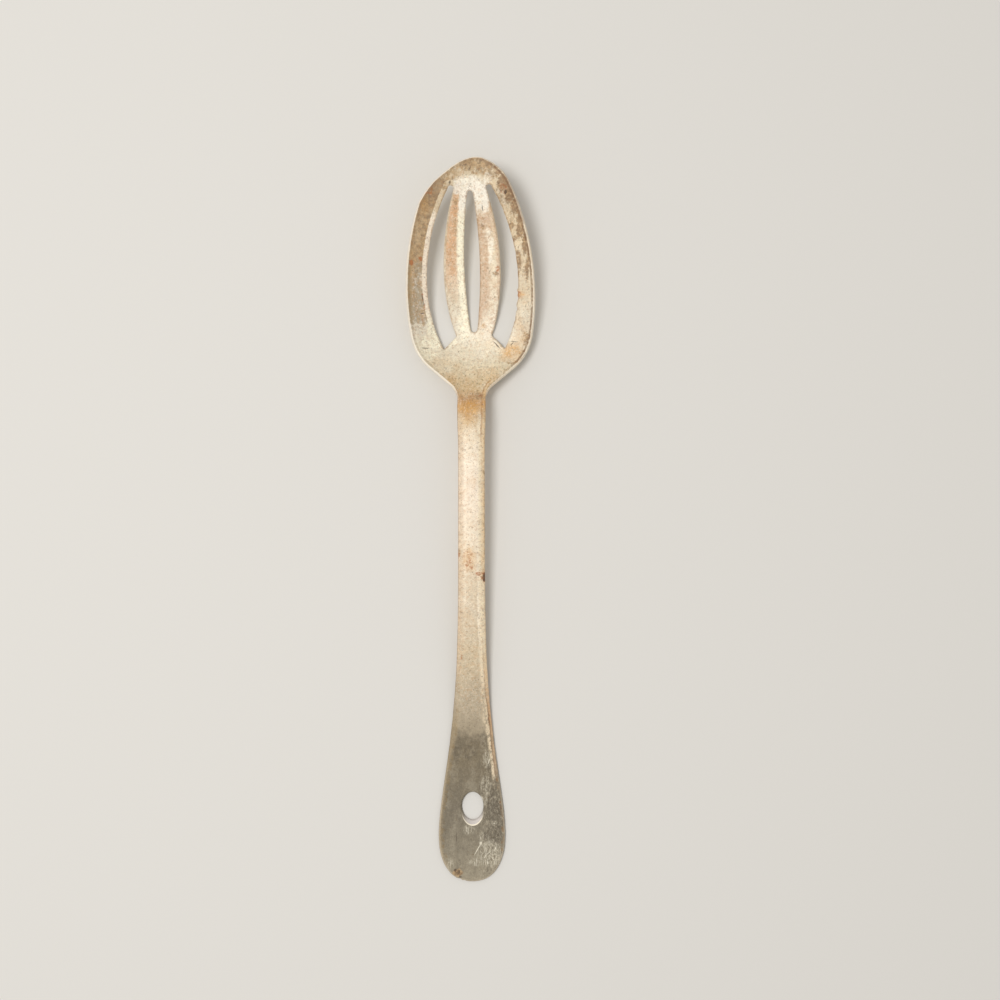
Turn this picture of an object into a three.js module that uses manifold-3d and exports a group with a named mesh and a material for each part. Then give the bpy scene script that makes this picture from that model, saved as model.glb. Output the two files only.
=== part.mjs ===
// A slotted kitchen spoon, pressed from one piece of tinned steel sheet.
// Bowl, neck, stem and paddle are one blank: there is no rivet, weld or second piece anywhere.
//
// Every place on the blank is given by two plan sizes: x, across the handle's axis, and d, along it
// from the handle's end to the tip of the bowl. The press turns a place on the flat blank into a
// place in space, and it forms the sheet and the punches alike, so that the walls of the slots
// stand square to the curved sheet. All sizes are in millimetres, with +Y towards the tip and +Z up.

import * as THREE from "three";
import { mergeVertices } from "three/addons/utils/BufferGeometryUtils.js";
import Module from "manifold-3d";

// Sheet
const SHEET_THICKNESS = 1.3;
const RIM_ROUNDING = 0.35;

// Handle outline
const PADDLE_WIDTH = 27.6;
const PADDLE_WIDEST_AT = 19.5;
const PADDLE_END_FULLNESS = 2.3;
const PADDLE_TAPER_LENGTH = 43.4;
const PADDLE_TAPER_FULLNESS = 1.7;
const STEM_WIDTH = 10.5;
const NECK_WIDTH = 11.7;
const NECK_TAPER_LENGTH = 20;
const HANDLE_LENGTH = 198;

// Bowl outline, with the stations measured from the tip
const BOWL_WIDTH = 52.3;
const BOWL_WIDEST_FROM_TIP = 54;
const BOWL_TIP_RADIUS = 18.7;
const BOWL_CORNER_FROM_TIP = 70.5;
const BOWL_CORNER_RADIUS = 22;
const SHOULDER_ANGLE = 50;
const NECK_RADIUS = 8;

// The bowl sits a little askew on the handle, and scraping has worn one side of its tip away
const BOWL_SKEW_ANGLE = 1.17;
const TIP_WEAR_DEPTH = 3.2;
const TIP_WEAR_ANGLE = 37;
const TIP_WEAR_HALF_SPAN = 55;
const TIP_WEAR_SHARPNESS = 1.5;

// Side profile of the middle line: heights of the sheet's upper face over the table
const PADDLE_FLAT_LENGTH = 40;
const RISE_AT = 115;
const RISE_HEIGHT = 10.0;
const RISE_ANGLE = 4.8;
const ARCH_FROM_NECK = 16;
const ARCH_HEIGHT = 14.0;
const BEND_PAST_NECK = 5;
const BEND_HEIGHT = 8.3;
const BEND_ANGLE = 28;
const HEEL_FROM_TIP = 71.5;
const BELLY_FROM_TIP = 49.5;
const BELLY_HEIGHT = 5.1;
const BELLY_ANGLE = 13;
const TIP_HEIGHT = 21;
const TIP_ANGLE = 21;

// Bowl section: depth under the rim, and how full the floor is towards the heel
const BOWL_DEPTH = 7.95;
const BOWL_DEEPEST_FROM_TIP = 57.5;
const BOWL_DEPTH_START = 1.5;
const HEEL_SWEEP = 1.2;
const FLOOR_FULLNESS = 0.2;
const HEEL_FULLNESS = 0.5;
const HEEL_FULLNESS_LENGTH = 26;

// Handle section: turned-down edges and a slight crown between them
const FLANGE_DROP = 1.6;
const FLANGE_WIDTH = 2.2;
const FLANGE_FOLD = 0.9;
const CROWN_HEIGHT = 0.25;
const FLANGE_START = 44;
const FLANGE_FADE_IN_LENGTH = 30;
const FLANGE_FADE_OUT_LENGTH = 18;

// Slots: widths where they are widest, and for each edge its widest station and its two radii
const SLOTS_SKEW_ANGLE = 1.5;
const SLOTS_SHIFT = 0.8;
const CENTRE_SLOT_WIDTH = 6.3;
const TINE_WIDTH = 8.5;
const SIDE_SLOT_WIDTH = 7.0;
const CENTRE_EDGE = { widestFromTip: 41.5, tipRadius: 185, heelRadius: 185 };
const TINE_EDGE = { widestFromTip: 45, tipRadius: 107, heelRadius: 77 };
const RIM_BAND_EDGE = { widestFromTip: 49.5, tipRadius: 76, heelRadius: 60 };
const CENTRE_SLOT_TOP_FROM_TIP = 14.5;
const CENTRE_SLOT_BOTTOM_FROM_TIP = 67.2;
const SIDE_SLOT_TOP_FROM_TIP = 12.4;
const SIDE_SLOT_INNER_BOTTOM_FROM_TIP = 70.2;
const SIDE_SLOT_OUTER_BOTTOM_FROM_TIP = 75.7;

// Hanging hole, and the lip that hanging has worn into its upper edge
const HOLE_WIDTH = 8.9;
const HOLE_LENGTH = 11.4;
const HOLE_AT = 31.3;
const HOLE_SHIFT = 0.3;
const LIP_WIDTH = 9.6;
const LIP_LENGTH = 14.0;
const LIP_SHIFT = 1.2;
const LIP_DEPTH = 0.55;

// Fineness of the mesh
const COLUMNS = 16;
const END_STEPS = 9;
const PADDLE_STEPS = 14;
const STEM_STEPS = 10;
const NECK_STEPS = 9;
const BOWL_STEPS = 22;
const TIP_STEPS = 10;
const SLOT_STEPS = 24;
const SLOT_END_STEPS = 5;
const HOLE_STEPS = 28;
const GRADIENT_STEP = 0.02;
const PUNCH_REACH = 2;

const wasm = await Module();
wasm.setup();

const radians = THREE.MathUtils.degToRad;
const halfSheet = SHEET_THICKNESS / 2;
const bowl = layOutBowl();

// Centres and joining stations of the arcs that bound the bowl, worked out from the tip to the neck
function layOutBowl() {
  const halfWidth = BOWL_WIDTH / 2;
  const tipToWidest = BOWL_WIDEST_FROM_TIP - BOWL_TIP_RADIUS;
  const sideRadius =
    (halfWidth ** 2 + tipToWidest ** 2 - BOWL_TIP_RADIUS ** 2) / (2 * (halfWidth - BOWL_TIP_RADIUS));
  const sideX = halfWidth - sideRadius;
  const cornerSine = (BOWL_CORNER_FROM_TIP - BOWL_WIDEST_FROM_TIP) / sideRadius;
  const cornerCosine = Math.sqrt(1 - cornerSine ** 2);
  const cornerX = sideX + (sideRadius - BOWL_CORNER_RADIUS) * cornerCosine;
  const cornerBack = BOWL_WIDEST_FROM_TIP + (sideRadius - BOWL_CORNER_RADIUS) * cornerSine;
  const shoulder = radians(SHOULDER_ANGLE);
  const shoulderX = cornerX + BOWL_CORNER_RADIUS * Math.cos(shoulder);
  const shoulderBack = cornerBack + BOWL_CORNER_RADIUS * Math.sin(shoulder);
  const filletX = NECK_WIDTH / 2 + NECK_RADIUS * (1 - Math.cos(shoulder));
  const filletBack = shoulderBack + (shoulderX - filletX) / Math.tan(shoulder);
  const neckBack = filletBack + NECK_RADIUS * Math.sin(shoulder);
  const tipSine = tipToWidest / (sideRadius - BOWL_TIP_RADIUS);
  const tip = HANDLE_LENGTH + neckBack;
  return {
    tip,
    tipCentre: tip - BOWL_TIP_RADIUS,
    tipJoin: tip - BOWL_TIP_RADIUS + BOWL_TIP_RADIUS * tipSine,
    widest: tip - BOWL_WIDEST_FROM_TIP,
    sideRadius,
    sideX,
    cornerJoin: tip - BOWL_CORNER_FROM_TIP,
    cornerX,
    cornerCentre: tip - cornerBack,
    shoulderX,
    shoulderJoin: tip - shoulderBack,
    filletJoin: tip - filletBack,
    heel: tip - HEEL_FROM_TIP,
  };
}

// A circle's half chord at a distance from its centre
function halfChord(radius, distance) {
  return Math.sqrt(Math.max(radius ** 2 - distance ** 2, 0));
}

// Eases from 0 to 1 while t goes from 0 to 1
function ease(t) {
  return THREE.MathUtils.smoothstep(t, 0, 1);
}

function paddleEndHalfWidth(d) {
  const t = 1 - THREE.MathUtils.clamp(d / PADDLE_WIDEST_AT, 0, 1);
  return (PADDLE_WIDTH / 2) * (1 - t ** PADDLE_END_FULLNESS) ** (1 / PADDLE_END_FULLNESS);
}

function stemHalfWidth(d) {
  const flare = Math.exp(-(((d - PADDLE_WIDEST_AT) / PADDLE_TAPER_LENGTH) ** PADDLE_TAPER_FULLNESS));
  const neck = ease((d - HANDLE_LENGTH + NECK_TAPER_LENGTH) / NECK_TAPER_LENGTH);
  return (STEM_WIDTH + (PADDLE_WIDTH - STEM_WIDTH) * flare + (NECK_WIDTH - STEM_WIDTH) * neck) / 2;
}

function bowlHalfWidth(d) {
  if (d < bowl.filletJoin) {
    return NECK_WIDTH / 2 + NECK_RADIUS - halfChord(NECK_RADIUS, d - HANDLE_LENGTH);
  }
  if (d < bowl.shoulderJoin) {
    return bowl.shoulderX - (bowl.shoulderJoin - d) * Math.tan(radians(SHOULDER_ANGLE));
  }
  if (d < bowl.cornerJoin) {
    return bowl.cornerX + halfChord(BOWL_CORNER_RADIUS, d - bowl.cornerCentre);
  }
  if (d < bowl.tipJoin) {
    return bowl.sideX + halfChord(bowl.sideRadius, d - bowl.widest);
  }
  return halfChord(BOWL_TIP_RADIUS, d - bowl.tipCentre);
}

// Half of the blank's width at a station, before wear
function halfWidth(d) {
  if (d < PADDLE_WIDEST_AT) {
    return paddleEndHalfWidth(d);
  }
  return d < HANDLE_LENGTH ? stemHalfWidth(d) : bowlHalfWidth(d);
}

// Sideways offset of the bowl's own middle line, which leaves the handle's axis at the heel
function bowlAxis(d) {
  return -Math.max(d - bowl.heel, 0) * Math.tan(radians(BOWL_SKEW_ANGLE));
}

// Stations along the blank: evenly spaced round both ends, and closer where the form bends
function stations() {
  const list = [];
  const spread = (from, to, steps, place = (t) => t) => {
    for (let i = 0; i < steps; i += 1) {
      list.push(THREE.MathUtils.lerp(from, to, place(i / steps)));
    }
  };
  const tipAngle = Math.acos((bowl.tipJoin - bowl.tipCentre) / BOWL_TIP_RADIUS);
  spread(0, PADDLE_WIDEST_AT, END_STEPS, (t) => 1 - Math.cos((t * Math.PI) / 2));
  spread(PADDLE_WIDEST_AT, RISE_AT, PADDLE_STEPS);
  spread(RISE_AT, HANDLE_LENGTH - NECK_TAPER_LENGTH, STEM_STEPS);
  spread(HANDLE_LENGTH - NECK_TAPER_LENGTH, bowl.filletJoin, NECK_STEPS);
  spread(bowl.filletJoin, bowl.tipJoin, BOWL_STEPS);
  for (let i = 0; i < TIP_STEPS; i += 1) {
    list.push(bowl.tipCentre + BOWL_TIP_RADIUS * Math.cos(tipAngle * (1 - i / TIP_STEPS)));
  }
  list.push(bowl.tip);
  return list;
}

// Scraping has flattened the tip on one side: the outline there lies nearer to the tip's centre
function wornPoint(x, d) {
  const fromCentre = new THREE.Vector2(x - bowlAxis(d), d - bowl.tipCentre);
  const angle = THREE.MathUtils.radToDeg(Math.atan2(-fromCentre.x, fromCentre.y));
  const share = Math.abs(angle - TIP_WEAR_ANGLE) / TIP_WEAR_HALF_SPAN;
  if (share >= 1) {
    return new THREE.Vector2(x, d);
  }
  const worn = TIP_WEAR_DEPTH * Math.cos((share * Math.PI) / 2) ** TIP_WEAR_SHARPNESS;
  fromCentre.setLength(fromCentre.length() - worn);
  return new THREE.Vector2(fromCentre.x + bowlAxis(d), fromCentre.y + bowl.tipCentre);
}

// The blank's outline as two rows of points, one a side, that meet at the end and at the tip
function outlineRows() {
  const side = (sign) => stations().map((d) => wornPoint(bowlAxis(d) + sign * halfWidth(d), d));
  const left = side(-1);
  const right = side(1);
  const last = left.length - 1;
  const before = (row, other, i) => (i > 0 ? row[i - 1] : other[1]);
  const after = (row, other, i) => (i < last ? row[i + 1] : other[last - 1]);
  const inward = (row, other, sign) =>
    row.map((point, i) => {
      const along = after(row, other, i).clone().sub(before(row, other, i)).normalize();
      return new THREE.Vector2(-along.y, along.x).multiplyScalar(sign);
    });
  return { left, right, leftInward: inward(left, right, -1), rightInward: inward(right, left, 1) };
}

// A smooth curve through stations with given heights and slopes, straight on past its last station
function smoothThrough(knots, d) {
  const last = knots[knots.length - 1];
  if (d >= last.at) {
    return last.height + (d - last.at) * Math.tan(radians(last.slope));
  }
  if (d <= knots[0].at) {
    return knots[0].height;
  }
  const i = knots.findIndex((knot) => knot.at > d);
  const [from, to] = [knots[i - 1], knots[i]];
  const length = to.at - from.at;
  const t = (d - from.at) / length;
  const rise = length * (t * (1 - t) ** 2 * Math.tan(radians(from.slope)));
  const fall = length * (t ** 2 * (1 - t) * Math.tan(radians(to.slope)));
  return THREE.MathUtils.lerp(from.height, to.height, ease(t)) + rise - fall;
}

const middleLine = [
  { at: PADDLE_FLAT_LENGTH, height: halfSheet, slope: 0 },
  { at: RISE_AT, height: RISE_HEIGHT - halfSheet, slope: RISE_ANGLE },
  { at: HANDLE_LENGTH - ARCH_FROM_NECK, height: ARCH_HEIGHT - halfSheet, slope: 0 },
  { at: HANDLE_LENGTH + BEND_PAST_NECK, height: BEND_HEIGHT - halfSheet, slope: -BEND_ANGLE },
  { at: bowl.heel, height: halfSheet, slope: 0 },
  { at: bowl.tip - BELLY_FROM_TIP, height: BELLY_HEIGHT - halfSheet, slope: BELLY_ANGLE },
  { at: bowl.tip, height: TIP_HEIGHT - halfSheet, slope: TIP_ANGLE },
];

// Depth of the bowl's middle line under its rim
function bowlDepth(d) {
  const deepest = bowl.tip - BOWL_DEEPEST_FROM_TIP;
  if (d >= deepest) {
    return BOWL_DEPTH * (1 - ((d - deepest) / BOWL_DEEPEST_FROM_TIP) ** 2);
  }
  const start = HANDLE_LENGTH - BOWL_DEPTH_START;
  const t = THREE.MathUtils.clamp((d - start) / (deepest - start), 0, 1);
  return BOWL_DEPTH * Math.sin((t * Math.PI) / 2) ** HEEL_SWEEP;
}

// How high a place in the bowl lies over the bowl's middle line
function bowlSection(x, d) {
  const station = Math.min(d, bowl.tip - RIM_ROUNDING);
  const across = ((x - bowlAxis(d)) / halfWidth(station)) ** 2;
  const heelShare = THREE.MathUtils.clamp((bowl.widest - d) / HEEL_FULLNESS_LENGTH, 0, 1);
  const tipShare = THREE.MathUtils.clamp((bowl.tip - d) / BOWL_TIP_RADIUS, 0, 1);
  const fullness = FLOOR_FULLNESS * tipShare + (HEEL_FULLNESS - FLOOR_FULLNESS) * heelShare;
  return bowlDepth(station) * across * (1 - fullness + fullness * across);
}

// How far the handle's section falls away from its middle line, with a rounded fold at each flange
function handleSection(x, d) {
  const fadeIn = ease((d - FLANGE_START) / FLANGE_FADE_IN_LENGTH);
  const fadeOut = ease((HANDLE_LENGTH + BEND_PAST_NECK - d) / FLANGE_FADE_OUT_LENGTH);
  const fromEdge = halfWidth(d) - Math.abs(x - bowlAxis(d));
  const intoFold = FLANGE_WIDTH + FLANGE_FOLD - fromEdge;
  let fallen = 0;
  if (intoFold > 2 * FLANGE_FOLD) {
    fallen = 1 - fromEdge / FLANGE_WIDTH;
  } else if (intoFold > 0) {
    fallen = intoFold ** 2 / (4 * FLANGE_FOLD * FLANGE_WIDTH);
  }
  const crown = CROWN_HEIGHT * (x / halfWidth(d)) ** 2;
  return fadeIn * fadeOut * (FLANGE_DROP * fallen + crown);
}

// Height of the middle of the sheet's thickness
function pressedHeight(x, d) {
  const middle = smoothThrough(middleLine, d);
  if (d < HANDLE_LENGTH - BOWL_DEPTH_START) {
    return middle - (d > FLANGE_START ? handleSection(x, d) : 0);
  }
  const flange = d < HANDLE_LENGTH + BEND_PAST_NECK ? handleSection(x, d) : 0;
  return middle + bowlSection(x, d) - flange;
}

// The press: takes a place on the blank, and a height over the middle of the sheet, to its place
function press(x, d, over) {
  const slopeX = pressedHeight(x + GRADIENT_STEP, d) - pressedHeight(x - GRADIENT_STEP, d);
  const slopeD = pressedHeight(x, d + GRADIENT_STEP) - pressedHeight(x, d - GRADIENT_STEP);
  const normal = new THREE.Vector3(-slopeX, -slopeD, 2 * GRADIENT_STEP).normalize();
  return new THREE.Vector3(x, d, pressedHeight(x, d)).addScaledVector(normal, over);
}

// Skins a row of rings that hold as many points each, and closes both ends
function skin(rings) {
  const count = rings[0].length;
  const last = rings.length - 1;
  const corner = (ring, i) => ring * count + (i % count);
  const triangles = [];
  for (let ring = 0; ring < last; ring += 1) {
    for (let i = 0; i < count; i += 1) {
      triangles.push([corner(ring, i), corner(ring, i + 1), corner(ring + 1, i + 1)]);
      triangles.push([corner(ring, i), corner(ring + 1, i + 1), corner(ring + 1, i)]);
    }
  }
  for (let i = 1; i < count - 1; i += 1) {
    triangles.push([0, i + 1, i]);
    triangles.push([corner(last, 0), corner(last, i), corner(last, i + 1)]);
  }
  return solid(rings.flat(), triangles);
}

// Makes a solid of points and triangles, with coinciding points merged and empty triangles left out
function solid(points, triangles) {
  const geometry = new THREE.BufferGeometry().setFromPoints(points);
  geometry.setIndex(triangles.flat());
  const merged = mergeVertices(geometry);
  const index = merged.index.array;
  const kept = [];
  for (let i = 0; i < index.length; i += 3) {
    const [a, b, c] = [index[i], index[i + 1], index[i + 2]];
    if (a !== b && b !== c && c !== a) {
      kept.push(a, b, c);
    }
  }
  const vertProperties = merged.attributes.position.array;
  return new wasm.Manifold(new wasm.Mesh({ numProp: 3, vertProperties, triVerts: new Uint32Array(kept) }));
}

// The pressed sheet before piercing: at each station a ring runs over the top and back underneath
function pressedSheet() {
  const { left, right, leftInward, rightInward } = outlineRows();
  const inset = (point, inward) => point.clone().addScaledVector(inward, RIM_ROUNDING);
  const rings = left.map((leftEdge, i) => {
    const rightEdge = right[i];
    const from = inset(leftEdge, leftInward[i]);
    const to = inset(rightEdge, rightInward[i]);
    const across = (j) => from.clone().lerp(to, (1 - Math.cos((j / COLUMNS) * Math.PI)) / 2);
    const row = Array.from({ length: COLUMNS + 1 }, (_, j) => across(j));
    const face = (over) => row.map((point) => press(point.x, point.y, over));
    const rim = (edge, over) => press(edge.x, edge.y, over);
    const rounded = halfSheet - RIM_ROUNDING;
    return [
      rim(leftEdge, -rounded),
      rim(leftEdge, rounded),
      ...face(halfSheet),
      rim(rightEdge, rounded),
      rim(rightEdge, -rounded),
      ...face(-halfSheet).reverse(),
    ];
  });
  return skin(rings);
}

// Half width of an edge in the slot pattern: two arcs that meet at its widest station
function slotEdge(widest, edge, d) {
  const along = d - (bowl.tip - edge.widestFromTip);
  const radius = along > 0 ? edge.tipRadius : edge.heelRadius;
  return widest - radius + halfChord(radius, along);
}

const centreEdge = (d) => slotEdge(CENTRE_SLOT_WIDTH / 2, CENTRE_EDGE, d);
const tineEdge = (d) => slotEdge(CENTRE_SLOT_WIDTH / 2 + TINE_WIDTH, TINE_EDGE, d);
const rimBandEdge = (d) =>
  slotEdge(CENTRE_SLOT_WIDTH / 2 + TINE_WIDTH + SIDE_SLOT_WIDTH, RIM_BAND_EDGE, d);

// Places a point of the slot pattern, which was pierced a little askew, on the blank
function onBlank(x, d) {
  const middle = new THREE.Vector2(0, bowl.tip - CENTRE_EDGE.widestFromTip);
  const turned = new THREE.Vector2(x, d).rotateAround(middle, radians(SLOTS_SKEW_ANGLE));
  turned.x += SLOTS_SHIFT + bowlAxis(middle.y);
  return turned;
}

// A rounded slot end over the pair of edge points that it joins
function roundedEnd([inner, outer], direction) {
  const centre = inner.clone().add(outer).multiplyScalar(0.5);
  const reach = inner.clone().sub(centre);
  const out = new THREE.Vector2(0, direction * reach.length());
  return Array.from({ length: SLOT_END_STEPS }, (_, i) => {
    const angle = ((i + 1) / SLOT_END_STEPS) * (Math.PI / 2);
    const point = (sign) =>
      centre.clone().addScaledVector(reach, sign * Math.cos(angle)).addScaledVector(out, Math.sin(angle));
    return [point(1), point(-1)];
  });
}

// A punch formed by the press: pairs of edge points along a slot, carried through the sheet
function slotPunch(pairs) {
  const rings = pairs.map((pair) => {
    const [inner, outer] = pair.map((point) => onBlank(point.x, point.y));
    return [
      press(inner.x, inner.y, PUNCH_REACH),
      press(outer.x, outer.y, PUNCH_REACH),
      press(outer.x, outer.y, -PUNCH_REACH),
      press(inner.x, inner.y, -PUNCH_REACH),
    ];
  });
  const punch = skin(rings);
  return punch.volume() > 0 ? punch : skin(rings.reverse());
}

function centreSlotPunch() {
  const top = bowl.tip - CENTRE_SLOT_TOP_FROM_TIP;
  const bottom = bowl.tip - CENTRE_SLOT_BOTTOM_FROM_TIP;
  const pairs = Array.from({ length: SLOT_STEPS + 1 }, (_, i) => {
    const d = THREE.MathUtils.lerp(bottom, top, i / SLOT_STEPS);
    return [new THREE.Vector2(-centreEdge(d), d), new THREE.Vector2(centreEdge(d), d)];
  });
  const bottomEnd = roundedEnd(pairs[0], -1).reverse();
  const topEnd = roundedEnd(pairs[SLOT_STEPS], 1);
  return slotPunch([...bottomEnd, ...pairs, ...topEnd]);
}

function sideSlotPunch(side) {
  const top = bowl.tip - SIDE_SLOT_TOP_FROM_TIP;
  const innerBottom = bowl.tip - SIDE_SLOT_INNER_BOTTOM_FROM_TIP;
  const outerBottom = bowl.tip - SIDE_SLOT_OUTER_BOTTOM_FROM_TIP;
  const pairs = Array.from({ length: SLOT_STEPS + 1 }, (_, i) => {
    const inner = THREE.MathUtils.lerp(innerBottom, top, i / SLOT_STEPS);
    const outer = THREE.MathUtils.lerp(outerBottom, top, i / SLOT_STEPS);
    return [
      new THREE.Vector2(side * tineEdge(inner), inner),
      new THREE.Vector2(side * rimBandEdge(outer), outer),
    ];
  });
  return slotPunch([...pairs, ...roundedEnd(pairs[SLOT_STEPS], 1)]);
}

// The hanging hole's punch: an oval whose upper part widens into the worn lip
function holePunch() {
  const oval = (width, length, at, over) =>
    Array.from({ length: HOLE_STEPS }, (_, i) => {
      const angle = (i / HOLE_STEPS) * 2 * Math.PI;
      return press(HOLE_SHIFT + (width / 2) * Math.cos(angle), at + (length / 2) * Math.sin(angle), over);
    });
  return skin([
    oval(HOLE_WIDTH, HOLE_LENGTH, HOLE_AT, -PUNCH_REACH),
    oval(HOLE_WIDTH, HOLE_LENGTH, HOLE_AT, halfSheet - LIP_DEPTH),
    oval(LIP_WIDTH, LIP_LENGTH, HOLE_AT - LIP_SHIFT, halfSheet),
    oval(LIP_WIDTH, LIP_LENGTH, HOLE_AT - LIP_SHIFT, PUNCH_REACH),
  ]);
}

// Turns a finished solid into a geometry that stands centred on the table
function centredGeometry(piece) {
  const { vertProperties, triVerts } = piece.getMesh();
  const geometry = new THREE.BufferGeometry();
  geometry.setAttribute("position", new THREE.BufferAttribute(new Float32Array(vertProperties), 3));
  geometry.setIndex(Array.from(triVerts));
  geometry.computeBoundingBox();
  const centre = geometry.boundingBox.getCenter(new THREE.Vector3());
  geometry.translate(-centre.x, -centre.y, -geometry.boundingBox.min.z);
  geometry.computeVertexNormals();
  return geometry;
}

// Tinned steel, worn to a warm grey
function wornTin() {
  return new THREE.MeshStandardMaterial({ color: 0xc2b59c, roughness: 0.42, metalness: 0.85 });
}

function spoonPressing() {
  const punches = [centreSlotPunch(), sideSlotPunch(-1), sideSlotPunch(1), holePunch()];
  const pierced = punches.reduce((sheet, punch) => sheet.subtract(punch), pressedSheet());
  const mesh = new THREE.Mesh(centredGeometry(pierced), wornTin());
  mesh.name = "spoon_pressing";
  return mesh;
}

const spoon = new THREE.Group();
spoon.add(spoonPressing());

export default spoon;
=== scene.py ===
"""A slotted kitchen spoon pressed from tinned steel: its fine skin, worn finish, light and camera.

The skin is shaped as the solid is. A flat blank with its slots and hole is laid out in plan, x across
the handle's axis and d along it from the handle's end, and a press turns each place on the blank into
a place in space. Sizes are in millimetres until the mesh is made, and photo places are in pixels.
"""

from types import SimpleNamespace

import bpy
import numpy as np
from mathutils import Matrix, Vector, noise
from mathutils.geometry import delaunay_2d_cdt
from mathutils.kdtree import KDTree


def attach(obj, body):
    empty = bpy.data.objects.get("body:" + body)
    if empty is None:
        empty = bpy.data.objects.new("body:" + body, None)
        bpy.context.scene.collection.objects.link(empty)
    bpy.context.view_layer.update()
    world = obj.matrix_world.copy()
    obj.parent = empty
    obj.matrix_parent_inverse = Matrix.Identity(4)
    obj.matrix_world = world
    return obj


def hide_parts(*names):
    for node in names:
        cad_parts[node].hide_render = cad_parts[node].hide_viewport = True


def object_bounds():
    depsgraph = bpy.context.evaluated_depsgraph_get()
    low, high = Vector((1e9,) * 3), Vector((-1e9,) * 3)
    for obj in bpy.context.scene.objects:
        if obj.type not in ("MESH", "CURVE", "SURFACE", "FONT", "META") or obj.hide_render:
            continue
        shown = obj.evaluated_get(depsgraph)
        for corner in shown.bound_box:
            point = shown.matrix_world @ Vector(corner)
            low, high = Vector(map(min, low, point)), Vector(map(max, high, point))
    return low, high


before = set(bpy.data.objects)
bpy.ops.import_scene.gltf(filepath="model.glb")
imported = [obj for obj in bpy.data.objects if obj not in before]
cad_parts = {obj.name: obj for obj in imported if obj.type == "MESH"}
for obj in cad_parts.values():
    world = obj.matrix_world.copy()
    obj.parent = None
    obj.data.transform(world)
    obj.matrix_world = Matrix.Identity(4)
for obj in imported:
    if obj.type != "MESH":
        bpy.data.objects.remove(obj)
cad_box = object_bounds()

MM = 0.001

# Sheet
SHEET_THICKNESS = 1.3
RIM_ROUNDING = 0.35

# Handle outline
PADDLE_WIDTH = 27.6
PADDLE_WIDEST_AT = 19.5
PADDLE_END_FULLNESS = 2.3
PADDLE_TAPER_LENGTH = 43.4
PADDLE_TAPER_FULLNESS = 1.7
STEM_WIDTH = 10.5
NECK_WIDTH = 11.7
NECK_TAPER_LENGTH = 20
HANDLE_LENGTH = 198

# Bowl outline, with the stations measured from the tip
BOWL_WIDTH = 52.3
BOWL_WIDEST_FROM_TIP = 54
BOWL_TIP_RADIUS = 18.7
BOWL_CORNER_FROM_TIP = 70.5
BOWL_CORNER_RADIUS = 22
SHOULDER_ANGLE = 50
NECK_RADIUS = 8
BOWL_SKEW_ANGLE = 1.17
TIP_WEAR_DEPTH = 3.2
TIP_WEAR_ANGLE = 37
TIP_WEAR_HALF_SPAN = 55
TIP_WEAR_SHARPNESS = 1.5

# Side profile of the middle line: heights of the sheet's upper face over the table
PADDLE_FLAT_LENGTH = 40
RISE_AT = 115
RISE_HEIGHT = 10.0
RISE_ANGLE = 4.8
ARCH_FROM_NECK = 16
ARCH_HEIGHT = 14.0
BEND_PAST_NECK = 5
BEND_HEIGHT = 8.3
BEND_ANGLE = 28
HEEL_FROM_TIP = 71.5
BELLY_FROM_TIP = 49.5
BELLY_HEIGHT = 5.1
BELLY_ANGLE = 13
TIP_HEIGHT = 21
TIP_ANGLE = 21

# Bowl and handle sections
BOWL_DEPTH = 7.95
BOWL_DEEPEST_FROM_TIP = 57.5
BOWL_DEPTH_START = 1.5
HEEL_SWEEP = 1.2
FLOOR_FULLNESS = 0.2
HEEL_FULLNESS = 0.5
HEEL_FULLNESS_LENGTH = 26
FLANGE_DROP = 1.6
FLANGE_WIDTH = 2.2
FLANGE_FOLD = 0.9
CROWN_HEIGHT = 0.25
FLANGE_START = 44
FLANGE_FADE_IN_LENGTH = 30
FLANGE_FADE_OUT_LENGTH = 18

# Slots and hanging hole
SLOTS_SKEW_ANGLE = 1.5
SLOTS_SHIFT = 0.8
CENTRE_SLOT_WIDTH = 6.3
TINE_WIDTH = 8.5
SIDE_SLOT_WIDTH = 7.0
CENTRE_EDGE = SimpleNamespace(widest_from_tip=41.5, tip_radius=185, heel_radius=185)
TINE_EDGE = SimpleNamespace(widest_from_tip=45, tip_radius=107, heel_radius=77)
RIM_BAND_EDGE = SimpleNamespace(widest_from_tip=49.5, tip_radius=76, heel_radius=60)
CENTRE_SLOT_TOP_FROM_TIP = 14.5
CENTRE_SLOT_BOTTOM_FROM_TIP = 67.2
SIDE_SLOT_TOP_FROM_TIP = 12.4
SIDE_SLOT_INNER_BOTTOM_FROM_TIP = 70.2
SIDE_SLOT_OUTER_BOTTOM_FROM_TIP = 75.7
HOLE_WIDTH = 8.9
HOLE_LENGTH = 11.4
HOLE_AT = 31.3
HOLE_SHIFT = 0.3
LIP_WIDTH = 9.6
LIP_LENGTH = 14.0
LIP_SHIFT = 1.2
LIP_DEPTH = 0.55

# Rings of the worn lip: depths under the sheet's face, then heights over the lip's own floor
LIP_DROPS = (0.05, 0.25)
LIP_RISES = (0.12, -0.08)
# The middle ring of a rounded corner of the hole: its share of the rounding, and its height if it is low
CORNER_INSET_SHARE = 0.3
LOW_CORNER_HEIGHT = 0.1
# The ring where the plain wall of the hole starts, counted from 0
HOLE_WALL_RING = 4

# Fineness of the skin: spacings and rows of points, points of the cuts, and settings of the filling
EDGE_SPACING = 0.5
FACE_SPACING = 0.7
EDGE_ROWS = (0.85, 1.35, 1.9, 2.5, 3.1)
ROWS_APART_SHARE = 0.75
FIELD_APART_SHARE = 0.7
CUT_POINTS = 300
CUT_END_POINTS = 20
HOLE_POINTS = 80
CORNER_STEPS = 3
GRADIENT_STEP = 0.02
MERGE_DISTANCE = 1e-5
INSIDE_ONLY = 1

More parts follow.
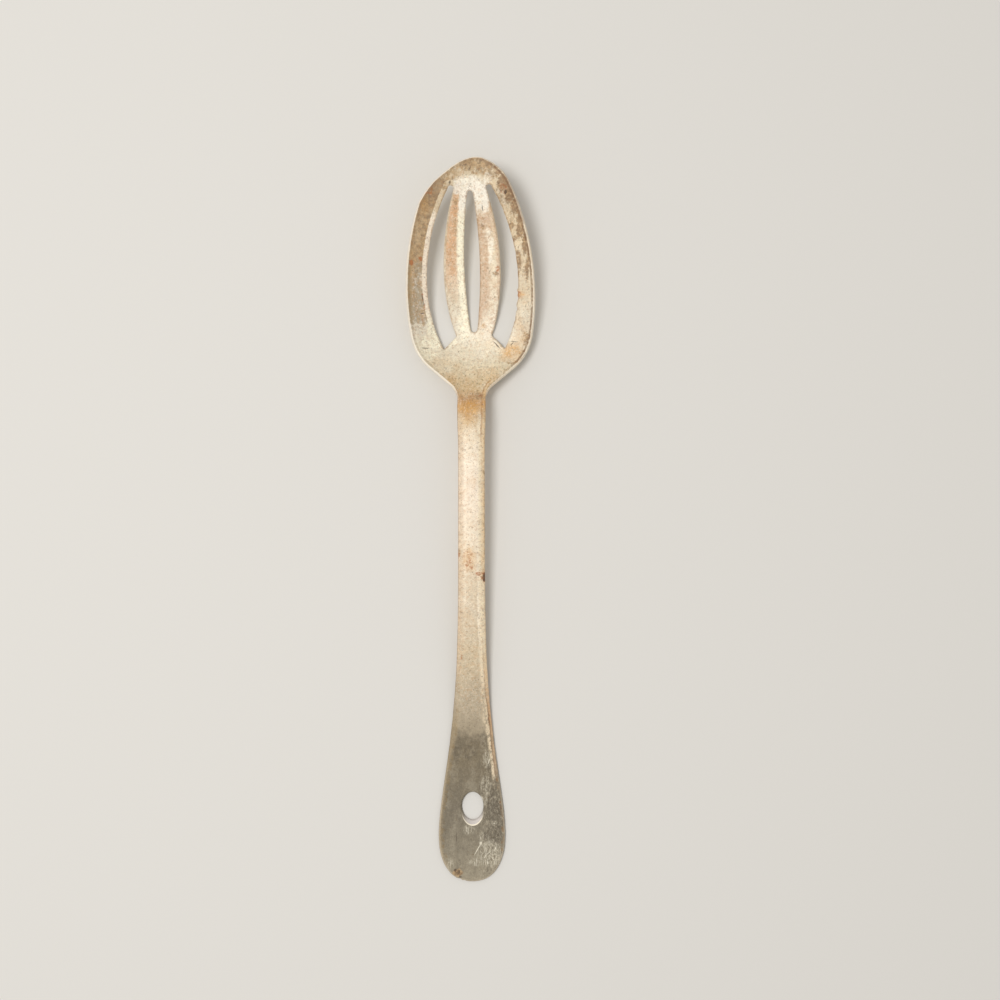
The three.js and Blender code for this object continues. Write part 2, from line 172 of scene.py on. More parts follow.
# Unevenness that use has left; each layer is another slice through the same noise
OUTLINE_WEAR = 0.09
OUTLINE_WAVER = 0.05
OUTLINE_LAYER = 0.5
SLOT_WAVER = 0.06
BURRED_SLOT_WAVER = 0.13
SLOT_LAYER = 2.5
WAVER_LENGTHS = (1.7, 7)
WAVER_LIMIT = 1.5
RIPPLE_HEIGHT = 0.08
RIPPLE_LENGTH = 9
RIPPLE_LAYER = 5.5
RIPPLES_END_BEFORE_TIP = 12

# Nicks and burrs of the edges: x, d, reach, and depth into the metal (negative for a burr)
NICKS = (
    (-4.7, 1.6, 1.2, 0.45),
    (-3.0, 0.6, 0.8, 0.25),
    (-6.8, 3.6, 0.8, 0.2),
    (19.1, 243.0, 0.9, -0.4),
    (19.0, 241.2, 0.5, -0.25),
    (18.9, 239.9, 0.6, 0.2),
    (18.7, 237.6, 1.1, -0.2),
    (18.5, 235.6, 0.7, 0.3),
    (18.2, 234.2, 0.6, -0.15),
    (17.9, 231.4, 0.9, 0.22),
    (11.6, 264.6, 0.7, -0.3),
    (11.9, 259.0, 0.6, -0.15),
    (2.4, 277.0, 0.6, -0.25),
    (12.5, 220.6, 0.7, 0.25),
    (9.6, 223.4, 0.6, -0.15),
)
# Places where the sheet is raised beside a cut: x, d, reach and height
RAISED = (
    (9.5, 223.1, 0.9, 0.3),
    (10.4, 222.2, 0.9, 0.38),
    (11.3, 221.3, 0.9, 0.32),
    (18.0, 242.8, 1.1, 0.2),
)
# How far out nicks and marks fade, as multiples of their reach
NICKS_END_AT = 1.2
MARKS_END_AT = 1.6

# Finish: the used range of the noise, how far the two faces lie apart in it, how deep a streak reaches
# through the sheet, the length of the rows of tones, how softly the bowl's halves meet, and the relief
NOISE_RANGE = (0.28, 0.72)
FACES_APART = 2
STREAK_DEPTH = 100
TONES_LENGTH = 300
HALVES_SOFT = 0.3
RELIEF_STRENGTH = 0.6
RELIEF_HEIGHT = 0.04

# Floor and light, in metres and watts
FLOOR_REACH = 3
LAMP_AT = (-0.42, 0.1, 1.3)
LAMP_SIZE = 0.45
LAMP_POWER = 9.5
SKY_STRENGTH = 0.6

# The photograph was taken from straight above
CAMERA_HEIGHT = 600
PIXELS_PER_MM = 2.42
PHOTO_SIZE = 1000
PHOTO_AXIS_X = 472
PHOTO_MIDDLE_D = 157.4
SENSOR_WIDTH = 36
CLIP_START = 0.01

HALF_SHEET = SHEET_THICKNESS / 2


def lay_out_bowl():
    """Centres and joining stations of the arcs that bound the bowl, from the tip to the neck."""
    half = BOWL_WIDTH / 2
    to_widest = BOWL_WIDEST_FROM_TIP - BOWL_TIP_RADIUS
    side_radius = (half**2 + to_widest**2 - BOWL_TIP_RADIUS**2) / (2 * (half - BOWL_TIP_RADIUS))
    side_x = half - side_radius
    corner_sine = (BOWL_CORNER_FROM_TIP - BOWL_WIDEST_FROM_TIP) / side_radius
    corner_x = side_x + (side_radius - BOWL_CORNER_RADIUS) * np.sqrt(1 - corner_sine**2)
    corner_back = BOWL_WIDEST_FROM_TIP + (side_radius - BOWL_CORNER_RADIUS) * corner_sine
    shoulder = np.radians(SHOULDER_ANGLE)
    shoulder_x = corner_x + BOWL_CORNER_RADIUS * np.cos(shoulder)
    shoulder_back = corner_back + BOWL_CORNER_RADIUS * np.sin(shoulder)
    fillet_x = NECK_WIDTH / 2 + NECK_RADIUS * (1 - np.cos(shoulder))
    fillet_back = shoulder_back + (shoulder_x - fillet_x) / np.tan(shoulder)
    tip = HANDLE_LENGTH + fillet_back + NECK_RADIUS * np.sin(shoulder)
    tip_sine = to_widest / (side_radius - BOWL_TIP_RADIUS)
    return SimpleNamespace(
        tip=tip,
        tip_centre=tip - BOWL_TIP_RADIUS,
        tip_join=tip - BOWL_TIP_RADIUS + BOWL_TIP_RADIUS * tip_sine,
        widest=tip - BOWL_WIDEST_FROM_TIP,
        side_radius=side_radius,
        side_x=side_x,
        corner_join=tip - BOWL_CORNER_FROM_TIP,
        corner_x=corner_x,
        corner_centre=tip - corner_back,
        shoulder_x=shoulder_x,
        shoulder_join=tip - shoulder_back,
        fillet_join=tip - fillet_back,
        heel=tip - HEEL_FROM_TIP,
    )


BOWL = lay_out_bowl()


def half_chord(radius, distance):
    return np.sqrt(np.maximum(radius**2 - distance**2, 0))


def ease(t):
    t = np.clip(t, 0, 1)
    return t * t * (3 - 2 * t)


def half_width(d):
    """Half of the blank's width at a station, before wear."""
    t = 1 - np.clip(d / PADDLE_WIDEST_AT, 0, 1)
    end = PADDLE_WIDTH / 2 * (1 - t**PADDLE_END_FULLNESS) ** (1 / PADDLE_END_FULLNESS)
    past = np.maximum(d - PADDLE_WIDEST_AT, 0) / PADDLE_TAPER_LENGTH
    flare = np.exp(-(past**PADDLE_TAPER_FULLNESS))
    neck = ease((d - HANDLE_LENGTH + NECK_TAPER_LENGTH) / NECK_TAPER_LENGTH)
    stem = STEM_WIDTH + (PADDLE_WIDTH - STEM_WIDTH) * flare + (NECK_WIDTH - STEM_WIDTH) * neck
    stations = [PADDLE_WIDEST_AT, HANDLE_LENGTH, BOWL.fillet_join, BOWL.shoulder_join]
    stations += [BOWL.corner_join, BOWL.tip_join]
    widths = [
        end,
        stem / 2,
        NECK_WIDTH / 2 + NECK_RADIUS - half_chord(NECK_RADIUS, d - HANDLE_LENGTH),
        BOWL.shoulder_x - (BOWL.shoulder_join - d) * np.tan(np.radians(SHOULDER_ANGLE)),
        BOWL.corner_x + half_chord(BOWL_CORNER_RADIUS, d - BOWL.corner_centre),
        BOWL.side_x + half_chord(BOWL.side_radius, d - BOWL.widest),
    ]
    tip = half_chord(BOWL_TIP_RADIUS, d - BOWL.tip_centre)
    return np.select([d < station for station in stations], widths, tip)


def bowl_axis(d):
    """Sideways offset of the bowl's middle line, which leaves the handle's axis at the heel."""
    return -np.maximum(d - BOWL.heel, 0) * np.tan(np.radians(BOWL_SKEW_ANGLE))


def worn(x, d):
    """Scraping has flattened the tip on one side, so the outline there lies nearer to its centre."""
    across = x - bowl_axis(d)
    along = d - BOWL.tip_centre
    angle = np.degrees(np.arctan2(-across, along))
    share = np.minimum(np.abs(angle - TIP_WEAR_ANGLE) / TIP_WEAR_HALF_SPAN, 1)
    lost = TIP_WEAR_DEPTH * np.cos(share * np.pi / 2) ** TIP_WEAR_SHARPNESS
    kept = 1 - lost / np.hypot(across, along)
    return np.column_stack([bowl_axis(d) + across * kept, BOWL.tip_centre + along * kept])


def middle_line(d):
    """Height of the middle of the sheet along the spoon: a smooth curve through a few stations."""
    knots = [
        (PADDLE_FLAT_LENGTH, SHEET_THICKNESS, 0),
        (RISE_AT, RISE_HEIGHT, RISE_ANGLE),
        (HANDLE_LENGTH - ARCH_FROM_NECK, ARCH_HEIGHT, 0),
        (HANDLE_LENGTH + BEND_PAST_NECK, BEND_HEIGHT, -BEND_ANGLE),
        (BOWL.heel, SHEET_THICKNESS, 0),
        (BOWL.tip - BELLY_FROM_TIP, BELLY_HEIGHT, BELLY_ANGLE),
        (BOWL.tip, TIP_HEIGHT, TIP_ANGLE),
    ]
    height = np.full_like(d, SHEET_THICKNESS)
    for (start, low, slope), (end, high, next_slope) in zip(knots, knots[1:]):
        length = end - start
        t = (d - start) / length
        rise = length * t * (1 - t) ** 2 * np.tan(np.radians(slope))
        fall = length * t**2 * (1 - t) * np.tan(np.radians(next_slope))
        curve = low + (high - low) * ease(t) + rise - fall
        height = np.where((d >= start) & (d < end), curve, height)
    at, high, slope = knots[-1]
    return np.where(d >= at, high + (d - at) * np.tan(np.radians(slope)), height) - HALF_SHEET


def bowl_section(x, d):
    """How high a place in the bowl lies over the bowl's middle line."""
    station = np.minimum(d, BOWL.tip - RIM_ROUNDING)
    deepest = BOWL.tip - BOWL_DEEPEST_FROM_TIP
    start = HANDLE_LENGTH - BOWL_DEPTH_START
    towards_tip = 1 - (np.maximum(station - deepest, 0) / BOWL_DEEPEST_FROM_TIP) ** 2
    from_neck = np.clip((station - start) / (deepest - start), 0, 1)
    depth = BOWL_DEPTH * towards_tip * np.sin(from_neck * np.pi / 2) ** HEEL_SWEEP
    across = ((x - bowl_axis(d)) / np.maximum(half_width(station), RIM_ROUNDING)) ** 2
    heel_share = np.clip((BOWL.widest - d) / HEEL_FULLNESS_LENGTH, 0, 1)
    tip_share = np.clip((BOWL.tip - d) / BOWL_TIP_RADIUS, 0, 1)
    fullness = FLOOR_FULLNESS * tip_share + (HEEL_FULLNESS - FLOOR_FULLNESS) * heel_share
    return depth * across * (1 - fullness + fullness * across)


def handle_section(x, d):
    """How far the handle's section falls away from its middle line, at its crown and its flanges."""
    fade_in = ease((d - FLANGE_START) / FLANGE_FADE_IN_LENGTH)
    fade_out = ease((HANDLE_LENGTH + BEND_PAST_NECK - d) / FLANGE_FADE_OUT_LENGTH)
    from_edge = half_width(d) - np.abs(x - bowl_axis(d))
    into_fold = np.maximum(FLANGE_WIDTH + FLANGE_FOLD - from_edge, 0)
    folding = into_fold**2 / (4 * FLANGE_FOLD * FLANGE_WIDTH)
    fallen = np.where(into_fold > 2 * FLANGE_FOLD, 1 - from_edge / FLANGE_WIDTH, folding)
    crown = CROWN_HEIGHT * (x / np.maximum(half_width(d), 1)) ** 2
    return fade_in * fade_out * (FLANGE_DROP * fallen + crown)


def pressed_height(x, d):
    """Height of the middle of the sheet's thickness."""
    in_bowl = d >= HANDLE_LENGTH - BOWL_DEPTH_START
    return middle_line(d) + np.where(in_bowl, bowl_section(x, d), 0) - handle_section(x, d)


def press(points, over):
    """Takes places on the blank, and their height over the middle of the sheet, into space."""
    x, d = points.T
    slope_x = pressed_height(x + GRADIENT_STEP, d) - pressed_height(x - GRADIENT_STEP, d)
    slope_d = pressed_height(x, d + GRADIENT_STEP) - pressed_height(x, d - GRADIENT_STEP)
    normal = np.column_stack([-slope_x, -slope_d, np.full_like(x, 2 * GRADIENT_STEP)])
    normal /= np.linalg.norm(normal, axis=1)[:, None]
    return np.column_stack([x, d, pressed_height(x, d)]) + over * normal


def resample(points, spacing):
    """The same closed loop with evenly spaced points."""
    closed = np.vstack([points, points[:1]])
    run = np.concatenate([[0], np.cumsum(np.hypot(*np.diff(closed, axis=0).T))])
    count = round(run[-1] / spacing)
    at = np.arange(count) * run[-1] / count
    return np.column_stack([np.interp(at, run, closed[:, 0]), np.interp(at, run, closed[:, 1])])


def outline():
    """The blank's outline, anticlockwise from the handle's end."""
    steps = round(HANDLE_LENGTH / EDGE_SPACING)
    tip_angle = np.arccos((BOWL.tip_join - BOWL.tip_centre) / BOWL_TIP_RADIUS)
    end = PADDLE_WIDEST_AT * (1 - np.cos(np.linspace(0, np.pi / 2, steps)))
    sides = np.linspace(PADDLE_WIDEST_AT, BOWL.tip_join, 2 * steps)
    tip = BOWL.tip_centre + BOWL_TIP_RADIUS * np.cos(np.linspace(tip_angle, 0, steps))
    d = np.concatenate([end, sides[1:], tip[1:]])
    right = worn(bowl_axis(d) + half_width(d), d)
    left = worn(bowl_axis(d) - half_width(d), d)
    return np.vstack([right, left[-2:0:-1]])


def slot_edge(widest, edge, d):
    """Half width of an edge in the slot pattern: two arcs that meet at its widest station."""
    along = d - (BOWL.tip - edge.widest_from_tip)
    radius = np.where(along > 0, edge.tip_radius, edge.heel_radius)
    return widest - radius + half_chord(radius, along)


def centre_edge(d):
    return slot_edge(CENTRE_SLOT_WIDTH / 2, CENTRE_EDGE, d)


def tine_edge(d):
    return slot_edge(CENTRE_SLOT_WIDTH / 2 + TINE_WIDTH, TINE_EDGE, d)


def rim_band_edge(d):
    return slot_edge(CENTRE_SLOT_WIDTH / 2 + TINE_WIDTH + SIDE_SLOT_WIDTH, RIM_BAND_EDGE, d)


def on_blank(points):
    """Places points of the slot pattern, which was pierced a little askew, on the blank."""
    middle = BOWL.tip - CENTRE_EDGE.widest_from_tip
    angle = np.radians(SLOTS_SKEW_ANGLE)
    x, along = points[:, 0], points[:, 1] - middle
    turned_x = x * np.cos(angle) - along * np.sin(angle) + SLOTS_SHIFT + bowl_axis(middle)
    return np.column_stack([turned_x, middle + x * np.sin(angle) + along * np.cos(angle)])


def rounded_end(start, end, direction):
    """A half circle over the gap between two edge points."""
    angle = np.linspace(0, np.pi, CUT_END_POINTS)[1:-1, None]
    centre = (start + end) / 2
    out = np.array([0, direction * np.linalg.norm(start - centre)])
    return centre + (start - centre) * np.cos(angle) + out * np.sin(angle)


def centre_slot():
    start = BOWL.tip - CENTRE_SLOT_BOTTOM_FROM_TIP
    d = np.linspace(start, BOWL.tip - CENTRE_SLOT_TOP_FROM_TIP, CUT_POINTS)
    left = np.column_stack([-centre_edge(d), d])
    right = np.column_stack([centre_edge(d), d])
    top = rounded_end(left[-1], right[-1], 1)
    bottom = rounded_end(right[0], left[0], -1)
    return on_blank(np.vstack([left, top, right[::-1], bottom]))


def side_slot(side):
    """The slot at the right (side 1) or at the left (side -1)."""
    top = BOWL.tip - SIDE_SLOT_TOP_FROM_TIP
    inner_d = np.linspace(BOWL.tip - SIDE_SLOT_INNER_BOTTOM_FROM_TIP, top, CUT_POINTS)
    outer_d = np.linspace(BOWL.tip - SIDE_SLOT_OUTER_BOTTOM_FROM_TIP, top, CUT_POINTS)
    inner = np.column_stack([side * tine_edge(inner_d), inner_d])
    outer = np.column_stack([side * rim_band_edge(outer_d), outer_d])
    end = rounded_end(inner[-1], outer[-1], 1)
    loop = on_blank(np.vstack([inner, end, outer[::-1]]))
    return loop if side > 0 else loop[::-1]


def oval(width, length, at, count):
    """A loop round the hanging hole, clockwise, with its points at even angles."""
    angle = np.linspace(0, 2 * np.pi, count, endpoint=False)
    x = HOLE_SHIFT + width / 2 * np.cos(angle)
    return np.column_stack([x, at - length / 2 * np.sin(angle)])


def into_metal(loop):
    """Unit vectors square to a loop, towards the metal on its left."""
    along = np.roll(loop, -1, 0) - np.roll(loop, 1, 0)
    along /= np.hypot(*along.T)[:, None]
    return np.column_stack([-along[:, 1], along[:, 0]])


def waves(points, length, layer):
    """Smooth noise at each point, from about -1 to 1."""
    return np.array([noise.noise(Vector((x / length, d / length, layer))) for x, d in points])


def wavering(loop, layer, waver, wear=0):
    """A loop worn back into the metal, whose edge wavers a little, as a worn and burred edge does."""
    near, far = [waves(loop, length, layer) for length in WAVER_LENGTHS]
    depth = wear + waver * np.clip(0.5 + near + far, 0, WAVER_LIMIT)
    return loop + into_metal(loop) * depth[:, None]


def nicked(loop):
    """The loop with its nicks and burrs."""
    inward = into_metal(loop)
    for x, d, reach, depth in NICKS:
        apart = np.hypot(loop[:, 0] - x, loop[:, 1] - d)
        loop = loop + inward * (depth * ease(NICKS_END_AT - apart / reach))[:, None]
    return loop


def rounded_rim(loop):
    """Rings of a rim from the top face round the edge to the underside, as (points, over) pairs."""
    inward = into_metal(loop)
    angles = np.linspace(np.pi / 2, 0, CORNER_STEPS + 1)
    top = [(RIM_ROUNDING * (1 - np.cos(a)), HALF_SHEET - RIM_ROUNDING * (1 - np.sin(a))) for a in angles]
    rings = top + [(inset, -over) for inset, over in reversed(top)]
    return [(loop + inset * inward, over) for inset, over in rings]


def hole_rim():
    """Rings of the hanging hole, whose upper edge is worn into a wider lip."""
    lip_at = HOLE_AT - LIP_SHIFT
    count = len(resample(oval(LIP_WIDTH, LIP_LENGTH, lip_at, HOLE_POINTS), EDGE_SPACING))
    lip = oval(LIP_WIDTH, LIP_LENGTH, lip_at, count)
    wall = oval(HOLE_WIDTH, HOLE_LENGTH, HOLE_AT, count)
    outer = into_metal(wall) * RIM_ROUNDING
    soft = into_metal(lip) * RIM_ROUNDING
    lip_floor = HALF_SHEET - LIP_DEPTH
    return [
        (lip + soft, HALF_SHEET),
        (lip + CORNER_INSET_SHARE * soft, HALF_SHEET - LIP_DROPS[0]),
        ((2 * lip + wall) / 3, HALF_SHEET - LIP_DROPS[1]),
        ((lip + 2 * wall) / 3, lip_floor + LIP_RISES[0]),
        (wall, lip_floor + LIP_RISES[1]),
        (wall, RIM_ROUNDING - HALF_SHEET),
        (wall + CORNER_INSET_SHARE * outer, LOW_CORNER_HEIGHT - HALF_SHEET),
        (wall + outer, -HALF_SHEET),
    ]


def nearest(points, targets):
    """Each point's distance to the closest of the targets."""
    tree = KDTree(len(targets))
    for i, (x, d) in enumerate(targets):
        tree.insert((x, d, 0), i)
    tree.balance()
    return np.array([tree.find((x, d, 0))[2] for x, d in points])


def sieve(candidates, taken, gap):
    """The candidates that keep a gap to all points taken before them."""
    return candidates[nearest(candidates, taken) > gap]


def face_points(loops):
    """Points inside the face: rows that follow the edges, then an even field of triangles."""
    taken = np.vstack(loops)
    first = len(taken)
    for inset in EDGE_ROWS:
        for loop in loops:
            row = loop + (inset - RIM_ROUNDING) * into_metal(loop)
            taken = np.vstack([taken, sieve(row, taken, EDGE_SPACING * ROWS_APART_SHARE)])
    step = FACE_SPACING * np.sqrt(3) / 2
    field = []
    for i, d in enumerate(np.arange(step, BOWL.tip, step)):
        reach = float(half_width(np.array([d]))[0])
        x = np.arange(-reach, reach, FACE_SPACING) + (i % 2) * FACE_SPACING / 2
        field.append(np.column_stack([x + bowl_axis(d), np.full_like(x, d)]))
    field = sieve(np.vstack(field), taken, FACE_SPACING * FIELD_APART_SHARE)
    return np.vstack([taken, field])[first:]


def fill(loops, inner):
    """Triangles of the face that the first loop bounds and the others pierce."""
    points = [Vector(p) for p in np.vstack([*loops, inner])]
    borders = []
    start = 0
    for loop in loops:
        border = list(range(start, start + len(loop)))
        borders.append(border if start == 0 else border[::-1])
        start += len(loop)
    result = delaunay_2d_cdt(points, [], borders, INSIDE_ONLY, MERGE_DISTANCE)
    _, _, triangles, origins, _, owners = result
    return [[origins[i][0] for i in t] for t, owner in zip(triangles, owners) if owner == [0]]


def ripples(points):
    """Slight unevenness of the whole sheet, in millimetres."""
    fade = ease((BOWL.tip - TIP_WEAR_DEPTH - points[:, 1]) / RIPPLES_END_BEFORE_TIP)
    height = fade * RIPPLE_HEIGHT * (1 + waves(points, RIPPLE_LENGTH, RIPPLE_LAYER)) / 2
    for x, d, reach, lift in RAISED:
        apart = np.hypot(points[:, 0] - x, points[:, 1] - d)
        height += lift * ease(NICKS_END_AT - apart / reach)
    return height


class Skin:
    """The skin in the making: places on the blank, heights over the middle of the sheet, and faces."""

    def __init__(self):
        self.plan = np.empty((0, 2))
        self.over = np.empty(0)
        self.faces = []

    def add(self, points, over):
        """Adds points at one height and gives their numbers."""
        first = len(self.plan)
        self.plan = np.vstack([self.plan, points])
        self.over = np.append(self.over, np.full(len(points), over))
        return list(range(first, len(self.plan)))

    def add_rim(self, rim):
        """Adds the rings of a rim with the faces between them, and gives the numbers of each ring."""
        rings = [self.add(points, over) for points, over in rim]
        for upper, lower in zip(rings, rings[1:]):
            self.faces += zip(upper, lower, lower[1:] + lower[:1], upper[1:] + upper[:1])
        return rings

    def add_side(self, side, loops, rings):
        """Fills the upper face (side 1) or the underside (side -1) between its loops."""
        inner = face_points(loops)
        numbers = sum(rings, []) + self.add(inner, side * HALF_SHEET)
        for triangle in fill(loops, inner):
            self.faces.append([numbers[i] for i in triangle][::side])

    def used(self):
        """The points and heights that the faces use, and the faces with their new numbers."""
        used = np.zeros(len(self.plan), bool)
        used[np.concatenate(self.faces)] = True
        renumbered = np.cumsum(used) - 1
        faces = [renumbered[list(face)].tolist() for face in self.faces]
        return self.plan[used], self.over[used], faces


def make_skin():
    """The spoon's fine skin on the blank: points, heights, faces, its outer edge and its openings."""
    slots = [(centre_slot(), SLOT_WAVER), (side_slot(-1), SLOT_WAVER), (side_slot(1), BURRED_SLOT_WAVER)]
    slots = [nicked(wavering(resample(slot, EDGE_SPACING), SLOT_LAYER, waver)) for slot, waver in slots]
    edge = wavering(resample(outline(), EDGE_SPACING), OUTLINE_LAYER, OUTLINE_WAVER, OUTLINE_WEAR)
    edge = nicked(edge)
    rims = [rounded_rim(loop) for loop in (edge, *slots)] + [hole_rim()]
    skin = Skin()
    numbers = [skin.add_rim(rim) for rim in rims]
    for side, ring in ((1, 0), (-1, -1)):
        skin.add_side(side, [rim[ring][0] for rim in rims], [rings[ring] for rings in numbers])
    hole_wall = rims[-1][HOLE_WALL_RING][0]
    return *skin.used(), edge, [*slots, hole_wall]


def place(plan, over):
    """Positions in the frame, in metres, and the handle's axis: end, table and middle are the solid's."""
    low, high = cad_box
    spots = press(plan, over[:, None])
    spots[:, 2] += ripples(plan)
    plain = outline()[:, 0]
    axis_x = (low.x + high.x) / 2 - (plain.min() + plain.max()) / 2 * MM
    spots[:, 2] -= spots[:, 2].min()
    return spots * MM + np.array([axis_x, low.y, low.z]), axis_x


def make_spoon():
    """The spoon's object, whose mesh holds what the finish needs to know, and the handle's axis."""
    plan, over, faces, edge, holes = make_skin()
    mesh = bpy.data.meshes.new("spoon_skin")
    spots, axis_x = place(plan, over)
    mesh.from_pydata(spots.tolist(), [], faces)
    mesh.shade_smooth()
    fields = {
        "x": plan[:, 0],
        "d": plan[:, 1],
        "over": over / HALF_SHEET,
        "edge_gap": nearest(plan, edge),
        "hole_gap": nearest(plan, np.vstack(holes)),
        **stains(plan),
    }
    for name, values in fields.items():
        mesh.attributes.new(name, "FLOAT", "POINT").data.foreach_set("value", values.astype(np.float32))
    spoon = bpy.data.objects.new("spoon_skin", mesh)
    bpy.context.collection.objects.link(spoon)
    return spoon, axis_x


# Blemishes of the upper face: x, d, half widths across and along, and strength
RUST_MARKS = (
    (-24.6, 253.5, 0.8, 1.1, 1.0),
    (-21.0, 255.2, 0.7, 1.0, 0.8),
    (-20.4, 240.4, 0.5, 2.0, 0.45),
    (-19.8, 236.4, 0.6, 1.6, 0.4),
    (-20.3, 231.5, 0.7, 1.2, 0.4),
    (19.5, 241.4, 1.1, 1.1, 0.75),
    (3.2, 199.6, 1.4, 0.8, 0.4),
    (-1.4, 135.2, 1.6, 2.0, 0.35),
    (-0.7, 131.2, 1.6, 2.4, 0.42),
    (2.6, 127.2, 1.2, 1.0, 0.6),
    (4.6, 126.2, 1.0, 2.0, 0.7),
    (-4.2, 179.8, 0.8, 1.4, 0.25),
    (-4.7, 135.6, 0.5, 1.8, 0.5),
    (-3.7, 93.2, 0.35, 1.3, 0.65),
    (-17.4, 281.6, 2.0, 2.0, 0.4),
    (13.0, 282.6, 1.6, 2.0, 0.35),
    (10.6, 252.0, 0.7, 1.3, 0.6),
)
BROWN_MARKS = (
    (-16.4, 283.4, 3.0, 2.6, 0.95),
    (-12.0, 287.4, 3.0, 1.6, 0.6),
    (-20.4, 277.0, 1.6, 4.0, 0.65),
    (-20.7, 238.4, 1.2, 4.6, 0.6),
    (13.2, 284.8, 2.4, 3.0, 1.0),
    (15.8, 280.6, 2.2, 3.2, 1.0),
    (17.9, 275.8, 1.7, 3.0, 0.95),
    (20.2, 271.2, 1.5, 3.0, 0.9),
    (20.0, 266.6, 1.3, 3.0, 0.95),
    (21.8, 260.6, 1.0, 4.0, 0.9),
    (22.9, 252.0, 0.7, 6.0, 0.65),
    (16.4, 268.2, 1.3, 1.2, 0.8),
    (17.6, 263.4, 1.2, 1.2, 0.75),
    (19.4, 254.2, 1.1, 5.4, 0.7),
    (21.6, 249.6, 1.0, 3.2, 0.3),
    (21.9, 222.7, 1.3, 0.6, 0.75),
    (17.4, 213.2, 2.6, 0.7, 0.6),
    (13.6, 216.0, 1.0, 0.5, 0.6),
    (0.5, 291.8, 9.0, 1.5, 0.8),
    (-8.4, 288.2, 4.6, 2.2, 0.6),
    (16.8, 271.0, 2.0, 2.6, 0.3),
    (22.4, 223.4, 1.5, 4.0, 0.5),
    (20.8, 216.2, 1.4, 3.0, 0.5),
    (9.0, 288.6, 3.0, 2.0, 0.7),
    (14.5, 279.0, 4.5, 8.0, 0.3),
    (-12.5, 284.0, 3.0, 3.0, 0.5),
    (9.8, 250.0, 1.2, 1.2, 0.5),
    (4.5, 268.4, 1.2, 1.2, 0.7),
    (-6.2, 276.4, 1.6, 3.6, 0.5),
    (-6.6, 268.0, 1.2, 5.0, 0.35),
    (4.9, 126.0, 0.7, 2.2, 0.9),
    (4.7, 168.6, 0.5, 0.9, 0.7),
    (-4.7, 135.8, 0.6, 1.8, 0.8),
    (-6.0, 3.8, 1.8, 1.5, 0.9),
    (3.4, 199.3, 2.2, 1.5, 0.75),
)
OCHRE_MARKS = (
    (-0.6, 194.6, 4.2, 2.4, 0.9),
    (-0.8, 133.2, 2.4, 4.2, 0.5),
    (-0.8, 190.0, 2.6, 3.0, 0.45),
    (15.6, 216.8, 1.8, 1.2, 1.0),
    (16.6, 218.6, 3.8, 2.6, 1.0),
    (13.8, 215.4, 2.4, 1.4, 0.6),
    (-13.0, 213.6, 4.0, 1.4, 0.25),
    (19.0, 222.2, 2.6, 2.2, 0.45),
    (20.6, 225.4, 2.4, 3.2, 0.45),
    (18.6, 214.6, 2.4, 2.2, 0.5),
    (-20.4, 233.8, 1.2, 2.0, 0.45),
    (19.4, 229.0, 1.4, 5.0, 0.4),
    (20.4, 241.2, 1.4, 1.0, 0.9),
    (4.8, 229.2, 0.8, 0.8, 0.7),
    (-24.2, 250.0, 0.8, 8.0, 0.35),
    (8.6, 208.0, 2.4, 3.4, 0.25),
    (-8.4, 206.4, 2.0, 2.6, 0.35),
    (-19.0, 276.0, 1.4, 3.0, 0.5),
)
SHADOW_MARKS = (
    (8.4, 18.6, 3.4, 3.0, 1.0),
    (9.6, 26.0, 2.8, 6.5, 0.9),
    (7.6, 33.6, 1.6, 2.4, 0.8),
    (10.8, 33.8, 1.2, 3.0, 0.8),
    (8.8, 39.0, 1.4, 4.6, 0.7),
    (7.6, 47.4, 1.2, 1.6, 0.9),
    (-5.4, 55.0, 2.4, 2.4, 0.4),
    (-0.6, 54.4, 3.0, 2.0, 0.4),
    (-6.6, 51.6, 1.4, 3.0, 0.8),
    (-1.0, 51.6, 3.0, 1.6, 0.5),
    (7.4, 60.4, 0.9, 1.6, 0.9),
    (-6.2, 4.6, 1.1, 1.2, 0.75),
    (14.6, 281.4, 4.4, 5.0, 0.9),
)
DARK_MARKS = (
    (-1.0, 290.2, 0.5, 0.5, 0.9),
    (-8.6, 285.2, 0.35, 0.9, 0.8),
    (-6.9, 4.7, 0.6, 0.6, 0.75),
    (-5.3, 4.2, 0.5, 0.8, 0.75),
    (-6.2, 3.5, 0.9, 0.7, 0.55),
    (14.0, 281.1, 0.6, 0.8, 1.0),
    (4.4, 268.6, 0.6, 0.6, 0.6),
    (-4.7, 2.0, 0.8, 0.4, 0.8),
    (4.9, 126.0, 0.8, 2.0, 0.7),
)
# Pale patches; the broad one low on the bowl's left wall also lifts the shade of a wall that faces away
# from the lamp (painted light)
CREAM_MARKS = (
    (7.9, 261.0, 1.1, 3.6, 0.9),
    (7.9, 255.6, 1.0, 2.2, 0.7),
    (6.7, 266.0, 1.3, 2.4, 0.6),
    (-19.0, 219.5, 5.0, 5.0, 0.6),
    (20.5, 231.0, 2.4, 7.0, 0.15),
    (-15.5, 222.0, 3.0, 3.0, 0.75),
    (-17.4, 228.4, 1.4, 4.0, 0.75),
    (-20.5, 246.6, 1.3, 3.2, 0.45),
    (-3.2, 277.2, 1.7, 4.0, 1.0),
    (5.4, 277.4, 1.8, 3.6, 0.9),
    (-3.0, 229.0, 3.0, 6.0, 0.6),
    (1.8, 281.6, 5.0, 3.6, 0.95),
    (-0.6, 285.6, 5.6, 2.0, 0.8),
    (-5.6, 282.8, 2.0, 2.0, 0.8),
    (6.8, 286.4, 1.6, 2.4, 0.55),
    (0.8, 276.0, 2.2, 5.0, 0.6),
    (4.6, 278.0, 1.6, 5.0, 0.6),
)
